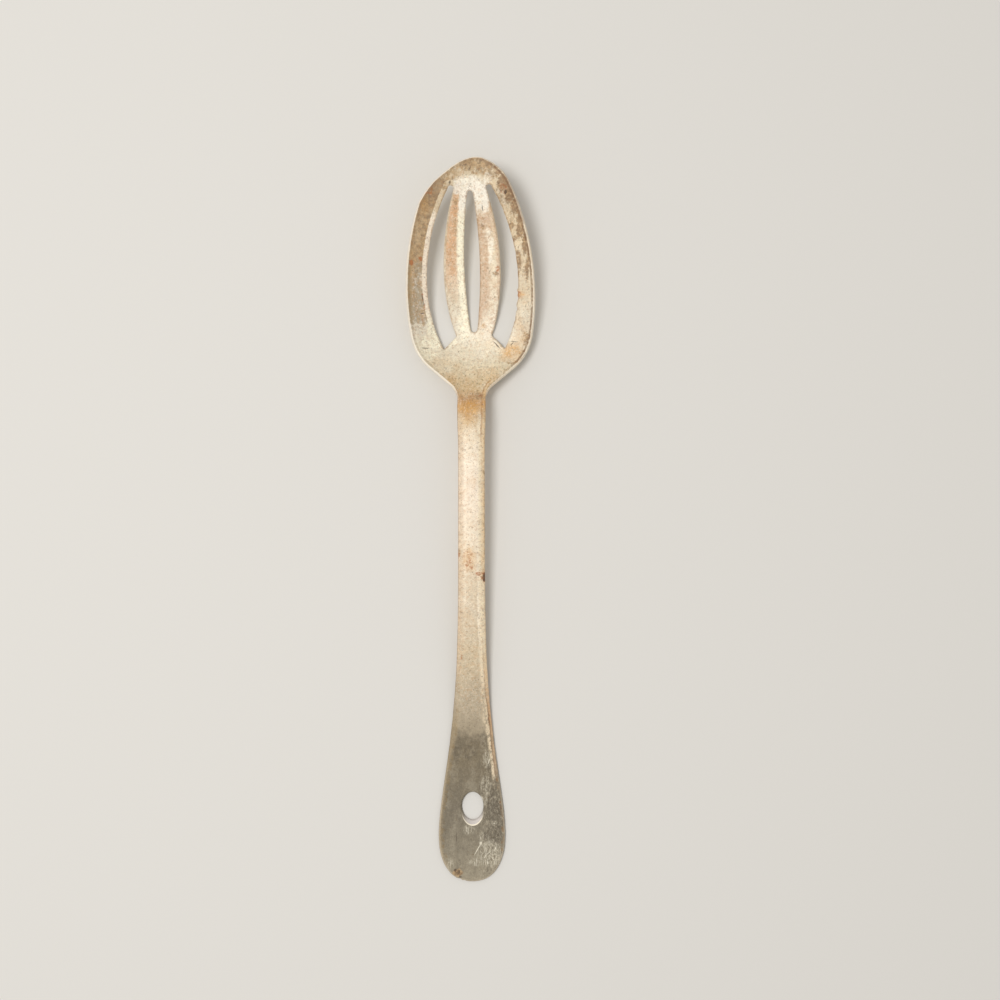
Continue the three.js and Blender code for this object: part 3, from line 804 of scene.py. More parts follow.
SCUFF_MARKS = (
    (7.4, 11.6, 4.2, 4.4, 1.0),
    (4.0, 17.6, 1.0, 3.2, 0.6),
    (-9.2, 7.2, 1.6, 2.4, 0.5),
    (6.4, 18.6, 0.9, 1.4, 0.3),
    (1.6, 8.0, 2.4, 1.4, 0.7),
    (-1.2, 21.4, 2.0, 1.8, 0.7),
    (5.6, 39.6, 2.0, 3.4, 0.6),
    (6.2, 50.6, 1.4, 3.0, 0.6),
    (9.2, 24.2, 1.0, 1.0, 0.8),
    (4.6, 33.8, 1.6, 2.4, 0.6),
)


def marks(plan, spots):
    """A field that rises to each mark's strength at its middle."""
    field = np.zeros(len(plan))
    for x, d, across, along, strength in spots:
        apart = np.hypot((plan[:, 0] - x) / across, (plan[:, 1] - d) / along)
        field = np.maximum(field, strength * ease(MARKS_END_AT - apart))
    return field


def slot_places(plan):
    """Signed distance across the slots' pattern, and distances past the centre slot and past the tines."""
    x, d = plan.T
    middle = BOWL.tip - CENTRE_EDGE.widest_from_tip
    angle = np.radians(SLOTS_SKEW_ANGLE)
    from_x = x - SLOTS_SHIFT - bowl_axis(middle)
    across = from_x * np.cos(angle) + (d - middle) * np.sin(angle)
    return across, np.abs(across) - centre_edge(d), np.abs(across) - tine_edge(d)


def lip_reach(plan):
    """Distance from the middle of the worn lip round the hanging hole: 1 at its outer edge."""
    x, d = plan.T
    return np.hypot((x - HOLE_SHIFT) / (LIP_WIDTH / 2), (d - HOLE_AT + LIP_SHIFT) / (LIP_LENGTH / 2))


def stains(plan):
    """What the finish needs to know about each place on the upper face."""
    across, past_centre, past_tine = slot_places(plan)
    return {
        "across": across,
        "past_centre": past_centre,
        "past_tine": past_tine,
        "lip": lip_reach(plan),
        "rust": marks(plan, RUST_MARKS),
        "brown": marks(plan, BROWN_MARKS),
        "ochre": marks(plan, OCHRE_MARKS),
        "shadow": marks(plan, SHADOW_MARKS),
        "dark": marks(plan, DARK_MARKS),
        "cream": marks(plan, CREAM_MARKS),
        "scuffs": marks(plan, SCUFF_MARKS),
    }


def linear(code):
    """The linear colour of a screen colour written as six hex digits."""
    channels = [int(code[i : i + 2], 16) / 255 for i in (0, 2, 4)]
    return [c / 12.92 if c <= 0.04045 else ((c + 0.055) / 1.055) ** 2.4 for c in channels] + [1]


class Finish:
    """A material in the making: each call adds nodes and gives an output.

    The tin's material is near the largest that the renderer takes. With a few more nodes, or with more
    values in use at once, the spoon renders black and no error is printed, so look at every change.
    """

    def __init__(self, name):
        self.material = bpy.data.materials.new(name)
        self.material.use_nodes = True
        self.tree = self.material.node_tree
        self.shader = self.tree.nodes["Principled BSDF"]
        self.sockets = {}
        self.colour = None

    def set(self, socket, value):
        if isinstance(value, bpy.types.NodeSocket):
            self.tree.links.new(value, socket)
        else:
            socket.default_value = value

    def node(self, kind, *values, **named):
        """A new node with its first and its named inputs set. A word stands for the mesh's field."""
        values = [self.field(value) if isinstance(value, str) else value for value in values]
        node = self.tree.nodes.new("ShaderNode" + kind)
        for socket, value in zip(node.inputs, values):
            self.set(socket, value)
        for name, value in named.items():
            self.set(node.inputs[name], value)
        return node

    def field(self, name):
        """A value that the mesh holds for each of its points."""
        if name not in self.sockets:
            attribute = self.node("Attribute")
            attribute.attribute_name = name
            self.sockets[name] = attribute.outputs["Fac"]
        return self.sockets[name]

    def number(self, operation, *values):
        node = self.node("Math", *values)
        node.operation = operation
        return node.outputs[0]

    def times(self, first, *others):
        for other in others:
            first = self.number("MULTIPLY", first, other)
        return first

    def most(self, first, *others):
        for other in others:
            first = self.number("MAXIMUM", first, other)
        return first

    def scaled(self, value, factor, offset):
        return self.number("MULTIPLY_ADD", value, factor, offset)

    def step(self, value, low, high, start=0.0, end=1.0):
        """Eases from start to end while the value goes from low to high."""
        ramp = self.node("MapRange", value, low, high, start, end)
        ramp.interpolation_type = "SMOOTHSTEP"
        return ramp.outputs[0]

    def between(self, value, low, high, soft):
        """1 from low to high, easing to 0 over the soft reach outside them."""
        return self.times(self.step(value, low - soft, low), self.step(value, high + soft, high))

    def along(self, start, end, soft):
        """The same between two stations of the spoon."""
        return self.between("d", start, end, soft)

    def places(self):
        """The blank's own coordinates in millimetres, as a vector."""
        if "places" not in self.sockets:
            joined = self.node("CombineXYZ")
            for socket, name in zip(joined.inputs, ("x", "d", "over")):
                self.set(socket, self.field(name))
            self.sockets["places"] = joined.outputs[0]
        return self.sockets["places"]

    def mapped(self, kind, location, turn, scale):
        """The places moved, turned by degrees and scaled."""
        mapping = self.node("Mapping", Location=location, Rotation=(0, 0, np.radians(turn)), Scale=scale)
        mapping.vector_type = kind
        self.set(mapping.inputs["Vector"], self.places())
        return mapping.outputs[0]

    def mottle(self, size, detail=3.0, roughness=0.6, stretch=(1, 1), turn=0, shift=0):
        """Noise stretched to between 0 and 1, whose grains are about a size in millimetres."""
        grains = self.node("TexNoise", Scale=1 / size, Detail=detail, Roughness=roughness)
        scale = (1 / stretch[0], 1 / stretch[1], FACES_APART)
        self.set(grains.inputs["Vector"], self.mapped("POINT", (shift, shift, shift), turn, scale))
        return self.step(grains.outputs["Fac"], *NOISE_RANGE)

    def mix(self, share, first, second, blend="MIX"):
        mixer = self.node("Mix")
        mixer.data_type = "RGBA"
        mixer.blend_type = blend
        self.set(mixer.inputs["Factor"], share)
        for name, value in (("A", first), ("B", second)):
            socket = [s for s in mixer.inputs if s.name == name and s.type == "RGBA"][0]
            self.set(socket, linear(value) if isinstance(value, str) else value)
        return [s for s in mixer.outputs if s.type == "RGBA"][0]

    def laid(self, under, tone, *shares):
        """A colour with a tone laid over it, as strongly as all the shares multiplied."""
        return self.mix(self.times(*shares), under, tone)

    def coat(self, tone, *shares):
        """Lays a tone over the material's colour so far."""
        self.colour = self.laid(self.colour, tone, *shares)

    def tones(self, value, stops):
        """A row of colours along the spoon, as (station, colour) stops."""
        ramp = self.node("ValToRGB")
        self.set(ramp.inputs[0], self.number("DIVIDE", value, TONES_LENGTH))
        elements = ramp.color_ramp.elements
        elements.remove(elements[1])
        elements[0].position = stops[0][0] / TONES_LENGTH
        elements[0].color = linear(stops[0][1])
        for station, code in stops[1:]:
            elements.new(station / TONES_LENGTH).color = linear(code)
        return ramp.outputs["Color"]

    def ragged(self, mask, size, reach, soft, shift):
        """A mask broken up by noise where it is neither empty nor full."""
        wander = self.scaled(self.mottle(size, 4, 0.7, shift=shift), reach, -reach / 2)
        open_share = self.times(mask, self.number("SUBTRACT", 1, mask), 4)
        return self.step(self.scaled(wander, open_share, mask), 0.5 - soft, 0.5 + soft)

    def streak(self, x, d, half_length, half_width, turn):
        """A thin mark that lies turned from the x axis, by degrees, and thins out to its ends."""
        turned = self.mapped("TEXTURE", (x, d, 0), turn, (half_length, half_width, STREAK_DEPTH))
        reach = self.node("VectorMath", turned)
        reach.operation = "LENGTH"
        return self.step(reach.outputs["Value"], 1, 0.5)

    def any_streak(self, streaks):
        mask = 0
        for streak in streaks:
            mask = self.most(mask, self.streak(*streak))
        return mask


# Scratches that shine and cracks that are dark: middle, half length, half width and turn
BRIGHT_SCRATCHES = (
    (2.7, 14.0, 4.5, 0.26, 60),
    (3.7, 17.0, 3.0, 0.24, 101),
    (3.5, 16.2, 1.3, 0.42, 84),
    (6.4, 8.2, 1.6, 0.34, 98),
    (5.4, 10.4, 1.3, 0.24, 60),
    (7.0, 12.0, 1.5, 0.26, 40),
    (9.6, 13.6, 1.4, 0.24, 70),
    (8.6, 9.6, 1.2, 0.22, 120),
    (1.1, 7.8, 0.9, 0.26, 96),
    (4.2, 34.4, 1.6, 0.26, 104),
    (7.0, 49.8, 1.6, 0.26, 74),
    (9.2, 24.1, 0.5, 0.34, 0),
)
DARK_SCRATCHES = (
    (-19.6, 219.5, 2.3, 0.24, 179),
    (17.4, 222.4, 2.2, 0.3, 172),
    (16.6, 221.4, 1.3, 0.26, 45),
    (-20.1, 239.2, 2.8, 0.3, 102),
    (-20.4, 233.8, 1.2, 0.26, 12),
    (-6.4, 18.0, 3.2, 0.16, 90),
    (10.2, 221.4, 2.4, 0.26, 135),
    (10.9, 220.4, 1.6, 0.2, 138),
    (17.6, 236.4, 0.3, 3.4, 8),
    (4.5, 275.5, 0.26, 1.6, 6),
)

# Colours of the worn tin along the spoon, from the handle's end to the tip; the whitest stops on the stem,
# round 161, also paint the sheen along its middle (painted highlight)
ALONG = (
    (0, "a0957f"),
    (12, "8c826e"),
    (30, "786e5c"),
    (52, "81745c"),
    (57, "7e715a"),
    (60, "887b65"),
    (63.5, "a89980"),
    (70, "b5a68d"),
    (80, "c2b297"),
    (95, "d3c1a2"),
    (112, "dac9ae"),
    (122, "dac8ac"),
    (141, "ebdac0"),
    (161, "f0dfc9"),
    (176, "ecddc6"),
    (189, "d8c3a1"),
    (197, "bd9263"),
    (203, "d9bf95"),
    (212, "e7d9bb"),
    (226, "e9dfca"),
    (262, "eadcbf"),
    (284, "dccdb0"),
    (295, "c8b493"),
)

# The same along the handle's right edge, beside the flare: tan tones, made lighter where the flange slopes
# further from the lamp, so that they also lift its shade (painted light)
TAN_ALONG = (
    (44, "c4ab90"),
    (52, "cdae8a"),
    (60, "dfbe97"),
    (66, "e0b688"),
    (72, "e2b98e"),
    (79, "f0d0a6"),
    (90, "ecd0a6"),
)


def left_half(tin):
    """The bowl to the left of the middle of its slots."""
    return tin.step("across", HALVES_SOFT, -HALVES_SOFT)


def right_half(tin):
    return tin.step("across", -HALVES_SOFT, HALVES_SOFT)


def tines(tin):
    return tin.step("past_tine", 1.2, 0.4)


def side_strips(tin):
    """The bowl outside its tines."""
    return tin.step("past_tine", 0, 1)


def bowl_film(tin):
    """Where brown film lies: on the side strips and round the tip."""
    strips = side_strips(tin)
    left = left_half(tin)
    bright_line = tin.step("hole_gap", 1.9, 2.3)
    left_strip = tin.times(left, strips, tin.along(234, 284, 10), bright_line)
    tip = tin.times(tin.step("d", 285, 292), 0.75)
    film = tin.most(tin.times(left_strip, 0.95), tip)
    film = tin.most(film, "brown")
    return tin.ragged(film, 1.3, 1.0, 0.38, 61)


def film_tone(tin):
    """The film is brown with darker grains, burnt at the tip, and ruddy on the right strip."""
    grain = tin.mottle(1.7, 5, 0.75, shift=37)
    tone = tin.mix(tin.step(grain, 0.1, 0.9), "8e6e48", "c5a478")
    burnt = tin.step(tin.mottle(1.5, 5, 0.8, shift=39), 0.55, 0.85)
    left = left_half(tin)
    burnt_here = tin.most(tin.step("d", 246, 285), tin.number("SUBTRACT", 1, left))
    tone = tin.laid(tone, "5e452e", burnt, burnt_here, 0.8)
    patch = tin.mottle(4.5, 3, 0.6, stretch=(0.7, 1.6), shift=65)
    tone = tin.laid(tone, "cdb28a", tin.step(patch, 0.5, 0.95), left, 0.4)
    right_strip = tin.step("x", 4, 10)
    tone = tin.laid(tone, "7a5633", right_strip, tin.step(grain, 0.95, 0.35), 0.85)
    tone = low_strip_tone(tin, tone, left)
    left_shoulder = tin.step("x", -9, -13)
    return tin.laid(tone, "7a5a38", left_shoulder, tin.step("d", 270, 279), 0.5)


def low_strip_tone(tin, tone, left):
    """The left strip's lower half has grey streaks, pale blisters and a golden outer edge."""
    low = tin.times(left, tin.step("d", 258, 247), tin.step("d", 200, 215))
    streaks = tin.mottle(3, 4, 0.7, stretch=(0.6, 2.0), shift=67)
    tone = tin.laid(tone, "aaa08c", low, tin.step(streaks, 0.1, 0.7), 0.8)
    blisters = tin.step(tin.mottle(1.3, 4, 0.75, shift=69), 0.5, 0.85)
    inner = tin.times(tin.step("edge_gap", 1.5, 2.3), tin.step("d", 262, 256))
    tone = tin.laid(tone, "ddd8cc", low, blisters, inner, 0.7)
    return tin.laid(tone, "a1875a", low, tin.step("edge_gap", 2.2, 1.1), 0.65)


def right_tine_bloom(tin, past_centre):
    """The bloom covers the right tine's upper part, and lower down specks and both its edges."""
    spread = tin.number("ADD", past_centre, tin.times(tin.step("d", 268, 258), 2.0))
    upper = tin.times(tin.step(spread, 8.0, 4.6), tin.along(240, 270, 12))
    specks = tin.step(tin.mottle(1.3, 5, 0.85, shift=13), 0.4, 0.8)
    lower = tin.times(tin.along(230, 244, 7), specks, 0.8)
    outer_edge = tin.between("past_tine", -1.3, -0.4, 0.4)
    outer_edge = tin.times(outer_edge, tin.along(244, 276, 8), 0.7)
    inner_edge = tin.times(tin.step(past_centre, 2.3, 1.3), tin.along(234, 268, 8), 0.9)
    lower = tin.most(lower, inner_edge)
    return tin.most(upper, lower, outer_edge)


def tine_blush(tin):
    """Where peach bloom lies on the tines, beside a pale strip on the left one."""
    on_tine = tines(tin)
    left = left_half(tin)
    right = right_half(tin)
    past_centre = tin.field("past_centre")
    outer_edge = tin.step("past_tine", -0.3, -1.0)
    off_centre = tin.step(past_centre, 2.4, 3.8)
    left_bloom = tin.times(left, on_tine, off_centre, tin.along(257, 276, 22), outer_edge)
    right_bloom = right_tine_bloom(tin, past_centre)
    bloom = tin.most(left_bloom, tin.times(right, on_tine, right_bloom))
    cloud = tin.scaled(tin.mottle(1.7, 5, 0.8, shift=11), 0.65, 0.33)
    return tin.times(bloom, cloud)


def rubbed_and_lit_lines(tin):
    """Pale bands on the left strip's slot edge and the left tine's inner strip: partly rubbed tin and
    partly a painted highlight where the sheet turns towards the lamp.
    """
    left = left_half(tin)
    slot_line = tin.times(left, side_strips(tin), tin.step("hole_gap", 2.3, 1.9))
    slot_line = tin.times(slot_line, tin.along(226, 268, 10))
    on_tine = tines(tin)
    inner_strip = tin.step("past_centre", 4.0, 2.0)
    tine_line = tin.times(left, on_tine, inner_strip, tin.along(232, 280, 8))
    rubbed_and_lit = tin.most(slot_line, tin.times(tine_line, 0.95))
    rubbed_and_lit = tin.most(rubbed_and_lit, "cream")
    return tin.ragged(rubbed_and_lit, 1.6, 0.6, 0.35, 19)


def rubbed_and_lit_tone(tin):
    """The pale bands' tone, rubbed tin and painted highlight: cream, warmer beside the left slot and
    whiter at the tip.
    """
    slot_side = tin.times(tin.step("across", -8, -12), tin.step("d", 228, 238))
    tone = tin.mix(right_half(tin), "fff8dd", "f6edd8")
    tone = tin.mix(slot_side, tone, "fff0da")
    tip = tin.times(tin.step("d", 270, 277), tin.step("d", 290, 284))
    middle = tin.step(tin.number("ABSOLUTE", "across"), 11, 8)
    return tin.laid(tone, "f9f1e1", tip, middle)


def edge_line(tin, tone, side, gap, reach, stations, *shares):
    """A line beside an edge: its reach is in the gap to that edge, fading to both sides or to one."""
    in_reach = tin.between(gap, *reach) if len(reach) == 3 else tin.step(gap, *reach)
    tin.coat(tone, side, in_reach, tin.along(*stations), *shares)


def handle_lines(tin, top):
    """Painted highlights on the folds, painted light on the right flank, and pale and brown lines along
    the turned-down edges of the handle.
    """
    wobble = tin.scaled(tin.mottle(3, 3, shift=73), 0.3, -0.15)
    outward = tin.times(tin.along(48, 73, 7), tin.step("x", -1, 1), 0.35)
    gap = tin.number("ADD", tin.number("ADD", tin.field("edge_gap"), wobble), outward)
    right = tin.times(tin.step("x", -1, 1), top)
    left = tin.times(tin.step("x", 1, -1), top)
    uneven = tin.scaled(tin.mottle(2.2, 4, 0.7, stretch=(0.6, 2), shift=79), 0.6, 0.4)
    fold_highlights(tin, right, gap, uneven)
    edge_line(tin, "f4d2ae", left, gap, (2.6, 1.2), (92, 184, 12), uneven, 0.4)
    right_flank(tin, right, gap, uneven)
    paddle_edges(tin, left, right, gap, top)


def fold_highlights(tin, right, gap, uneven):
    """Painted highlights along the pale crest of the stem's right fold and along the wider fold beside the
    flare, where the bends catch the lamp.
    """
    on_stem = tin.along(100, 186, 16)
    crest_here = tin.most(tin.along(102, 122, 10), tin.times(on_stem, 0.5))
    crest = tin.times(right, tin.between(gap, 1.9, 2.7, 0.5), crest_here, uneven, 0.9)
    broken = tin.step(tin.mottle(2.0, 5, 0.8, stretch=(0.7, 1.5), shift=91), 0.1, 0.6)
    fold_end = tin.number("ADD", 3.3, tin.times(tin.along(65, 74, 5), 1.2))
    fold = tin.times(right, tin.step(gap, 1.5, 1.8), tin.step(gap, fold_end, 2.3))
    fold = tin.times(fold, tin.along(46, 92, 8), broken, 0.9)
    # Painted highlights on the crest and on the fold beside the flare
    tin.coat("fff3dc", crest)
    tin.coat("efdbba", fold)


def right_flank(tin, right, gap, uneven):
    """The flank outside the right fold, which slopes away from the lamp: a pale tone painted over it lifts
    its shade (painted light), then golden and tan tones, and brown lines along it, the outermost of which
    also paints the shade at the flange's edge.
    """
    # Painted light: the pale tone lifts the shade of the flank's slope, which faces away from the lamp
    edge_line(tin, "ffecca", right, gap, (3.0, 1.9), (88, 186, 10), 0.85)
    edge_line(tin, "eab873", right, gap, (1.9, 1.1), (130, 196, 10), uneven, 0.4)
    # Brown outer edge line, partly painted shade of the flange's outermost side
    edge_line(tin, "a0783f", right, gap, (0.7, 0.3), (72, 202, 10), uneven, 0.55)
    # Tan tones, lightened down the flare to lift the flange's shade (painted light)
    tan = tin.times(right, tin.step(gap, 1.8, 1.3), tin.along(49, 90, 9), uneven, 0.95)
    tin.coat(tin.tones("d", TAN_ALONG), tan)
    dark_part = tin.along(65, 69, 4)
    core_here = tin.most(dark_part, tin.times(tin.step("d", 40, 46), tin.step("d", 116, 68), 0.45))
    core = tin.between(gap, 1.35, 1.65, 0.25)
    tin.coat("83532a", right, core, core_here, uneven)
    neck = (184, 204, 6)
    edge_line(tin, "a9743f", right, gap, (1.5, 1.8, 0.25), neck, uneven, 0.7)


def paddle_edges(tin, left, right, gap, top):
    """Pale and brown lines round the paddle, and the thin dark line of the stem's left edge."""
    wide_gap = tin.number("ADD", gap, tin.step("d", 62, 50, 0, 1.4))
    edge_line(tin, "ab9879", left, wide_gap, (3.4, 1.6), (10, 66, 8), 0.6)
    blotches = tin.step(tin.mottle(2.6, 4, 0.7, shift=81), 0.35, 0.85)
    inside = (1.2, 2.0, 0.5)
    edge_line(tin, "86704a", left, gap, inside, (10, 66, 8), blotches, 0.6)
    outside = (0.7, 1.2, 0.3)
    edge_line(tin, "86643c", right, gap, outside, (12, 42, 5), blotches, 0.7)
    edge_gap = tin.field("edge_gap")
    tin.coat("c8b8a0", tin.step(edge_gap, 0.7, 0.35), tin.step("d", 52, 30), top, 0.55)
    edge_line(tin, "7c5c44", left, edge_gap, (0.5, 0.2), (74, 196, 8), 0.5)


def lay_tin(tin):
    """The tin: its tones along the spoon, which on the stem also paint its sheen, cloudy, and blotchy
    under the paddle's patina.
    """
    drift = tin.scaled(tin.mottle(4.5, 4, 0.65, shift=3), 5, -2.5)
    drifted = tin.number("ADD", "d", drift)
    tin.colour = tin.tones(drifted, ALONG)
    paddle_patina(tin, tin.step(drifted, 64, 58))
    cloud = tin.mottle(7, 4, 0.65, shift=7)
    tin.coat("c9a677", tin.step(cloud, 0.55, 1), tin.step("d", 70, 100), 0.25)
    tin.coat("f7edd9", tin.step(cloud, 0.4, 0), tin.step("d", 70, 110), 0.35)
    tin.coat("dab988", side_strips(tin), tin.along(240, 284, 8), 0.25)


def paddle_patina(tin, patina):
    """Pale and dark blotches, deeper shadows and speckle on the paddle."""
    blotch = tin.mottle(4.5, 5, 0.7, stretch=(0.8, 1.5), shift=71)
    tin.coat("a69c87", patina, tin.step(blotch, 0.5, 0.95), 0.35)
    tin.coat("6a6150", patina, tin.step(blotch, 0.5, 0.05), 0.35)
    shadow = tin.ragged(tin.field("shadow"), 2.0, 0.9, 0.35, 83)
    dim = tin.scaled(tin.mottle(1.2, 5, 0.8, shift=85), 0.9, 0.1)
    tin.coat("544a3c", shadow, dim, 0.8)
    rough_side = tin.times(patina, tin.step("x", 2, 6))
    speckle = tin.mottle(1.2, 5, 0.9, stretch=(0.8, 1.3), shift=87)
    for tone, full in (("bdb29b", 0.9), ("554c3e", 0.1)):
        specks = tin.step(speckle, 0.5, full)
        tin.coat(tone, specks, tin.scaled(rough_side, 0.35, 0.15), patina)


def bowl_stains(tin, film, top):
    """Film, ochre, and pale bands that are partly rubbed tin and partly painted highlight, on the upper
    face of the bowl.
    """
    film_share = tin.times(film, top, 0.8)
    tin.coat(film_tone(tin), film_share)
    ochre = tin.field("ochre")
    cloud = tin.scaled(tin.mottle(1.8, 4, 0.7, shift=89), 0.55, 0.43)
    tin.coat("dba045", ochre, cloud, top, 0.75)
    rubbed_and_lit = rubbed_and_lit_lines(tin)
    # Pale bands, partly rubbed tin and partly painted highlight
    tin.coat(rubbed_and_lit_tone(tin), rubbed_and_lit, top, 0.86)


def fine_specks(tin, film):
    """Dark pepper, thickest at the heel, and warm and light specks everywhere but on the paddle."""
    patches = tin.mottle(6, 2, shift=29)
    heel = tin.times(tin.along(200, 209, 8), 0.9)
    pepper_here = tin.most(heel, tin.times(tin.step(patches, 0.5, 1), 0.75))
    pepper = tin.step(tin.mottle(1.0, 3, 0.7, shift=31), 0.7, 0.95)
    tin.coat("75603f", pepper, tin.scaled(pepper_here, 0.65, 0.06))
    warm = tin.step(tin.mottle(1.2, 4, 0.8, shift=47), 0.5, 0.95)
    tin.coat("bf9264", warm, tin.step("d", 62, 80), 0.42)
    light = tin.step(tin.mottle(1.0, 4, 0.8, shift=49), 0.5, 1)
    bare = tin.scaled(film, -0.7, 1)
    tin.coat("fff4e0", light, tin.step("d", 62, 80), bare, 0.35)


def scratched(tin, scratches, grain, top):
    """Scuffs, bright scratches and dark cracks."""
    scuffs = tin.field("scuffs")
    rubbed = tin.mottle(1.0, 5, 0.85, stretch=(0.85, 1.3), turn=35, shift=59)
    tin.coat("cfc5ae", scuffs, tin.step(rubbed, 0.5, 0.75), top, 0.8)
    streaks = tin.times(scratches, tin.step(scuffs, 0.05, 0.5), top, 0.5)
    shining = tin.times(tin.any_streak(BRIGHT_SCRATCHES), tin.step(grain, 0, 0.6), top, 0.75)
    tin.coat("e9e1cc", tin.most(streaks, shining))
    tin.coat("4a3b2e", tin.any_streak(DARK_SCRATCHES), tin.step(grain, 0.05, 0.5), top, 0.8)


def hole_wear_and_highlight(tin):
    """The grey wall of the hanging hole's worn lip, and a painted highlight along the lip's rounded outer
    edge.
    """
    lip = tin.field("lip")
    wall = tin.step(lip, 0.96, 0.92)
    tin.coat("cdc5bf", wall, tin.step("d", 31, 26), tin.step("x", -5, -1), 0.85)
    # Painted highlight where the lip's rounded outer edge faces the lamp
    lip_top = tin.times(tin.step("d", 30, 24), tin.step("over", -0.8, 0), 0.9)
    tin.coat("f5ead4", tin.between(lip, 0.95, 0.99, 0.03), lip_top)


def edge_wear_and_highlight(tin, grain, top):
    """The bright cut edge of the sheet, worn bare and with a painted highlight that is stronger on the
    left, towards the lamp, and brown lines inside it and round the slots.
    """
    edge_gap = tin.number("ADD", tin.field("edge_gap"), tin.times(grain, 0.2))
    right_edge = tin.step("x", 2, 12)
    not_stem = tin.step("d", tin.scaled(right_edge, 6, 193), 206)
    slot_line = tin.between("hole_gap", 0.15, 0.5, 0.25)
    slot_line = tin.times(slot_line, tin.step(grain, 0.2, 0.8), top)
    tin.coat("94704c", slot_line, tin.step("d", 205, 215), 0.55)
    # Painted highlight along the rounded cut edge, as well as bare worn metal: strongest on the left,
    # where the edge faces the lamp
    rim = tin.step(edge_gap, 0.42, 0.22)
    rim = tin.times(rim, tin.scaled(right_edge, -0.45, 0.85), not_stem)
    inside = tin.between(edge_gap, 0.6, 1.1, 0.3)
    inside = tin.times(inside, tin.step("d", 206, 216), tin.step(grain, 0.1, 0.65))
    tin.coat("7f6043", inside, tin.scaled(right_edge, 0.55, 0.3))
    tin.coat("f2e9d9", rim)


def shade_grains(tin, fine, grain):
    """Makes the colour a little darker and lighter with both grains."""
    shade = tin.scaled(fine, 0.12, 0.94)
    shade = tin.times(shade, tin.scaled(grain, 0.22, 0.89))
    grey = tin.node("CombineColor", shade, shade, shade)
    tin.colour = tin.mix(1.0, tin.colour, grey.outputs[0], "MULTIPLY")


def add_relief(tin, grain, fine, scratches, pits):
    """Grains stand up from the surface, and scratches and pits lie under it."""
    relief = tin.number("ADD", tin.times(grain, 0.5), tin.times(fine, 0.4))
    relief = tin.number("SUBTRACT", relief, tin.times(scratches, 0.12))
    relief = tin.number("SUBTRACT", relief, tin.times(pits, 0.6))
    bump = tin.node("Bump", Height=relief, Strength=RELIEF_STRENGTH, Distance=RELIEF_HEIGHT * MM)
    tin.set(tin.shader.inputs["Normal"], bump.outputs[0])


def worn_tin_and_painted_light():
    """The spoon's finish, laid on from the tin itself to its stains, scratches and bright edges; the
    folds, the right flank, the slots' pale bands, the lip and the cut edges also carry painted light and
    painted highlights.
    """
    tin = Finish("worn_tin_and_painted_light")
    fine = tin.mottle(0.6, 3, 0.7)
    grain = tin.mottle(1.6, 5, 0.8, shift=2)
    top = tin.step("over", -0.5, 0.9)
    lay_tin(tin)
    handle_lines(tin, top)
    bloom = tine_blush(tin)
    bloom_tone = tin.mix(right_half(tin), "d99d68", "bd9370")
    tin.coat(bloom_tone, bloom, top, 0.9)
    film = bowl_film(tin)
    bowl_stains(tin, film, top)
    fine_specks(tin, film)
    rust = tin.ragged(tin.field("rust"), 1.1, 1.0, 0.35, 41)
    tin.coat("b36b39", rust, top, 0.78)
    dark = tin.ragged(tin.field("dark"), 0.9, 0.6, 0.3, 43)
    tin.coat("4a3b2e", dark, top, 0.8)
    pits = tin.step(tin.mottle(0.6, 3, 0.7, shift=53), 0.84, 0.96)
    tin.coat("5a4938", pits, 0.5)
    one_way = tin.step(tin.mottle(1.0, 1, stretch=(0.22, 5), turn=28), 0.8, 0.95)
    other_way = tin.step(tin.mottle(1.0, 1, stretch=(0.22, 6), turn=-52, shift=5), 0.82, 0.96)
    scratches = tin.most(one_way, other_way)
    scratched(tin, scratches, grain, top)
    hole_wear_and_highlight(tin)
    edge_wear_and_highlight(tin, grain, top)
    shade_grains(tin, fine, grain)
    dirt = tin.most(tin.most(rust, dark), tin.times(film, 0.6))
    tin.set(tin.shader.inputs["Base Color"], tin.colour)
    tin.set(tin.shader.inputs["Metallic"], tin.scaled(dirt, -0.15, 0.25))
    rough = tin.scaled(grain, 0.14, 0.5)
    tin.set(tin.shader.inputs["Roughness"], tin.scaled(dirt, 0.12, rough))
    add_relief(tin, grain, fine, scratches, pits)
    return tin.material


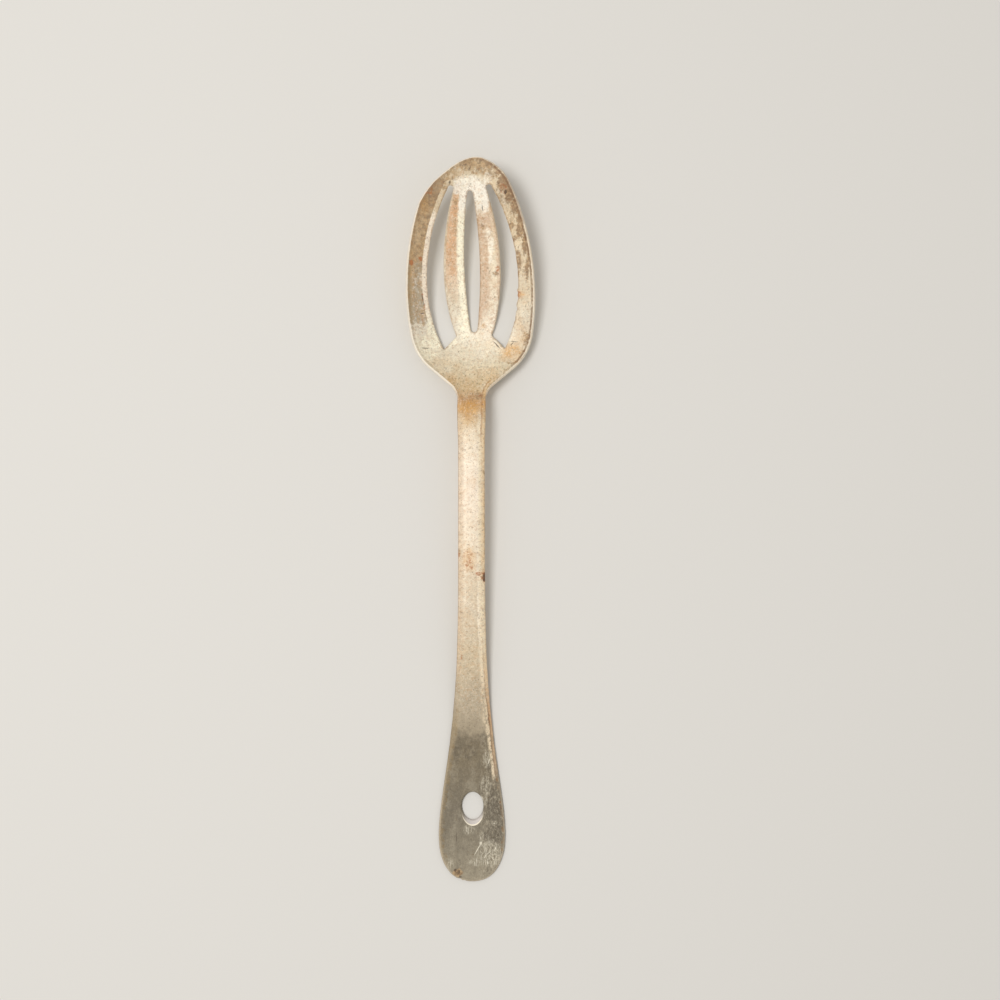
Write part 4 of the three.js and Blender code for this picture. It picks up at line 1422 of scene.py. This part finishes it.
def make_floor():
    """A plain sheet on the table plane; it sets off the spoon and is no part of it."""
    mesh = bpy.data.meshes.new("floor")
    corners = [(x * FLOOR_REACH, y * FLOOR_REACH, 0) for x, y in ((-1, -1), (1, -1), (1, 1), (-1, 1))]
    mesh.from_pydata(corners, [], [range(4)])
    floor = bpy.data.objects.new("floor", mesh)
    bpy.context.collection.objects.link(floor)
    paper = Finish("pale_floor")
    paper.set(paper.shader.inputs["Base Color"], linear("dedbd5"))
    paper.set(paper.shader.inputs["Roughness"], 0.9)
    mesh.materials.append(paper.material)


def light_scene():
    """A soft lamp over the spoon's left side, under an even pale sky."""
    world = bpy.data.worlds.new("studio")
    world.use_nodes = True
    background = world.node_tree.nodes["Background"]
    background.inputs["Color"].default_value = linear("f6f4f1")
    background.inputs["Strength"].default_value = SKY_STRENGTH
    bpy.context.scene.world = world
    lamp = bpy.data.lights.new("key", "AREA")
    lamp.size = LAMP_SIZE
    lamp.energy = LAMP_POWER
    key = bpy.data.objects.new("key", lamp)
    key.location = LAMP_AT
    key.rotation_euler = (-Vector(LAMP_AT)).to_track_quat("-Z", "Y").to_euler()
    bpy.context.collection.objects.link(key)
    bpy.context.scene.view_settings.view_transform = "Standard"


def add_camera(axis_x):
    """Straight above the spoon, as the photograph was taken; axis_x is the handle's axis in metres."""
    lens = bpy.data.cameras.new("camera")
    lens.sensor_width = SENSOR_WIDTH
    lens.lens = PIXELS_PER_MM * CAMERA_HEIGHT / PHOTO_SIZE * SENSOR_WIDTH
    lens.clip_start = CLIP_START
    camera = bpy.data.objects.new("camera", lens)
    aside = (PHOTO_SIZE / 2 - PHOTO_AXIS_X) / PIXELS_PER_MM
    camera.location = (axis_x + aside * MM, cad_box[0].y + PHOTO_MIDDLE_D * MM, CAMERA_HEIGHT * MM)
    bpy.context.collection.objects.link(camera)
    bpy.context.scene.camera = camera


spoon, axis_x = make_spoon()
spoon.data.materials.append(worn_tin_and_painted_light())
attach(spoon, "root")
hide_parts("spoon_pressing")

make_floor()
light_scene()
add_camera(axis_x)
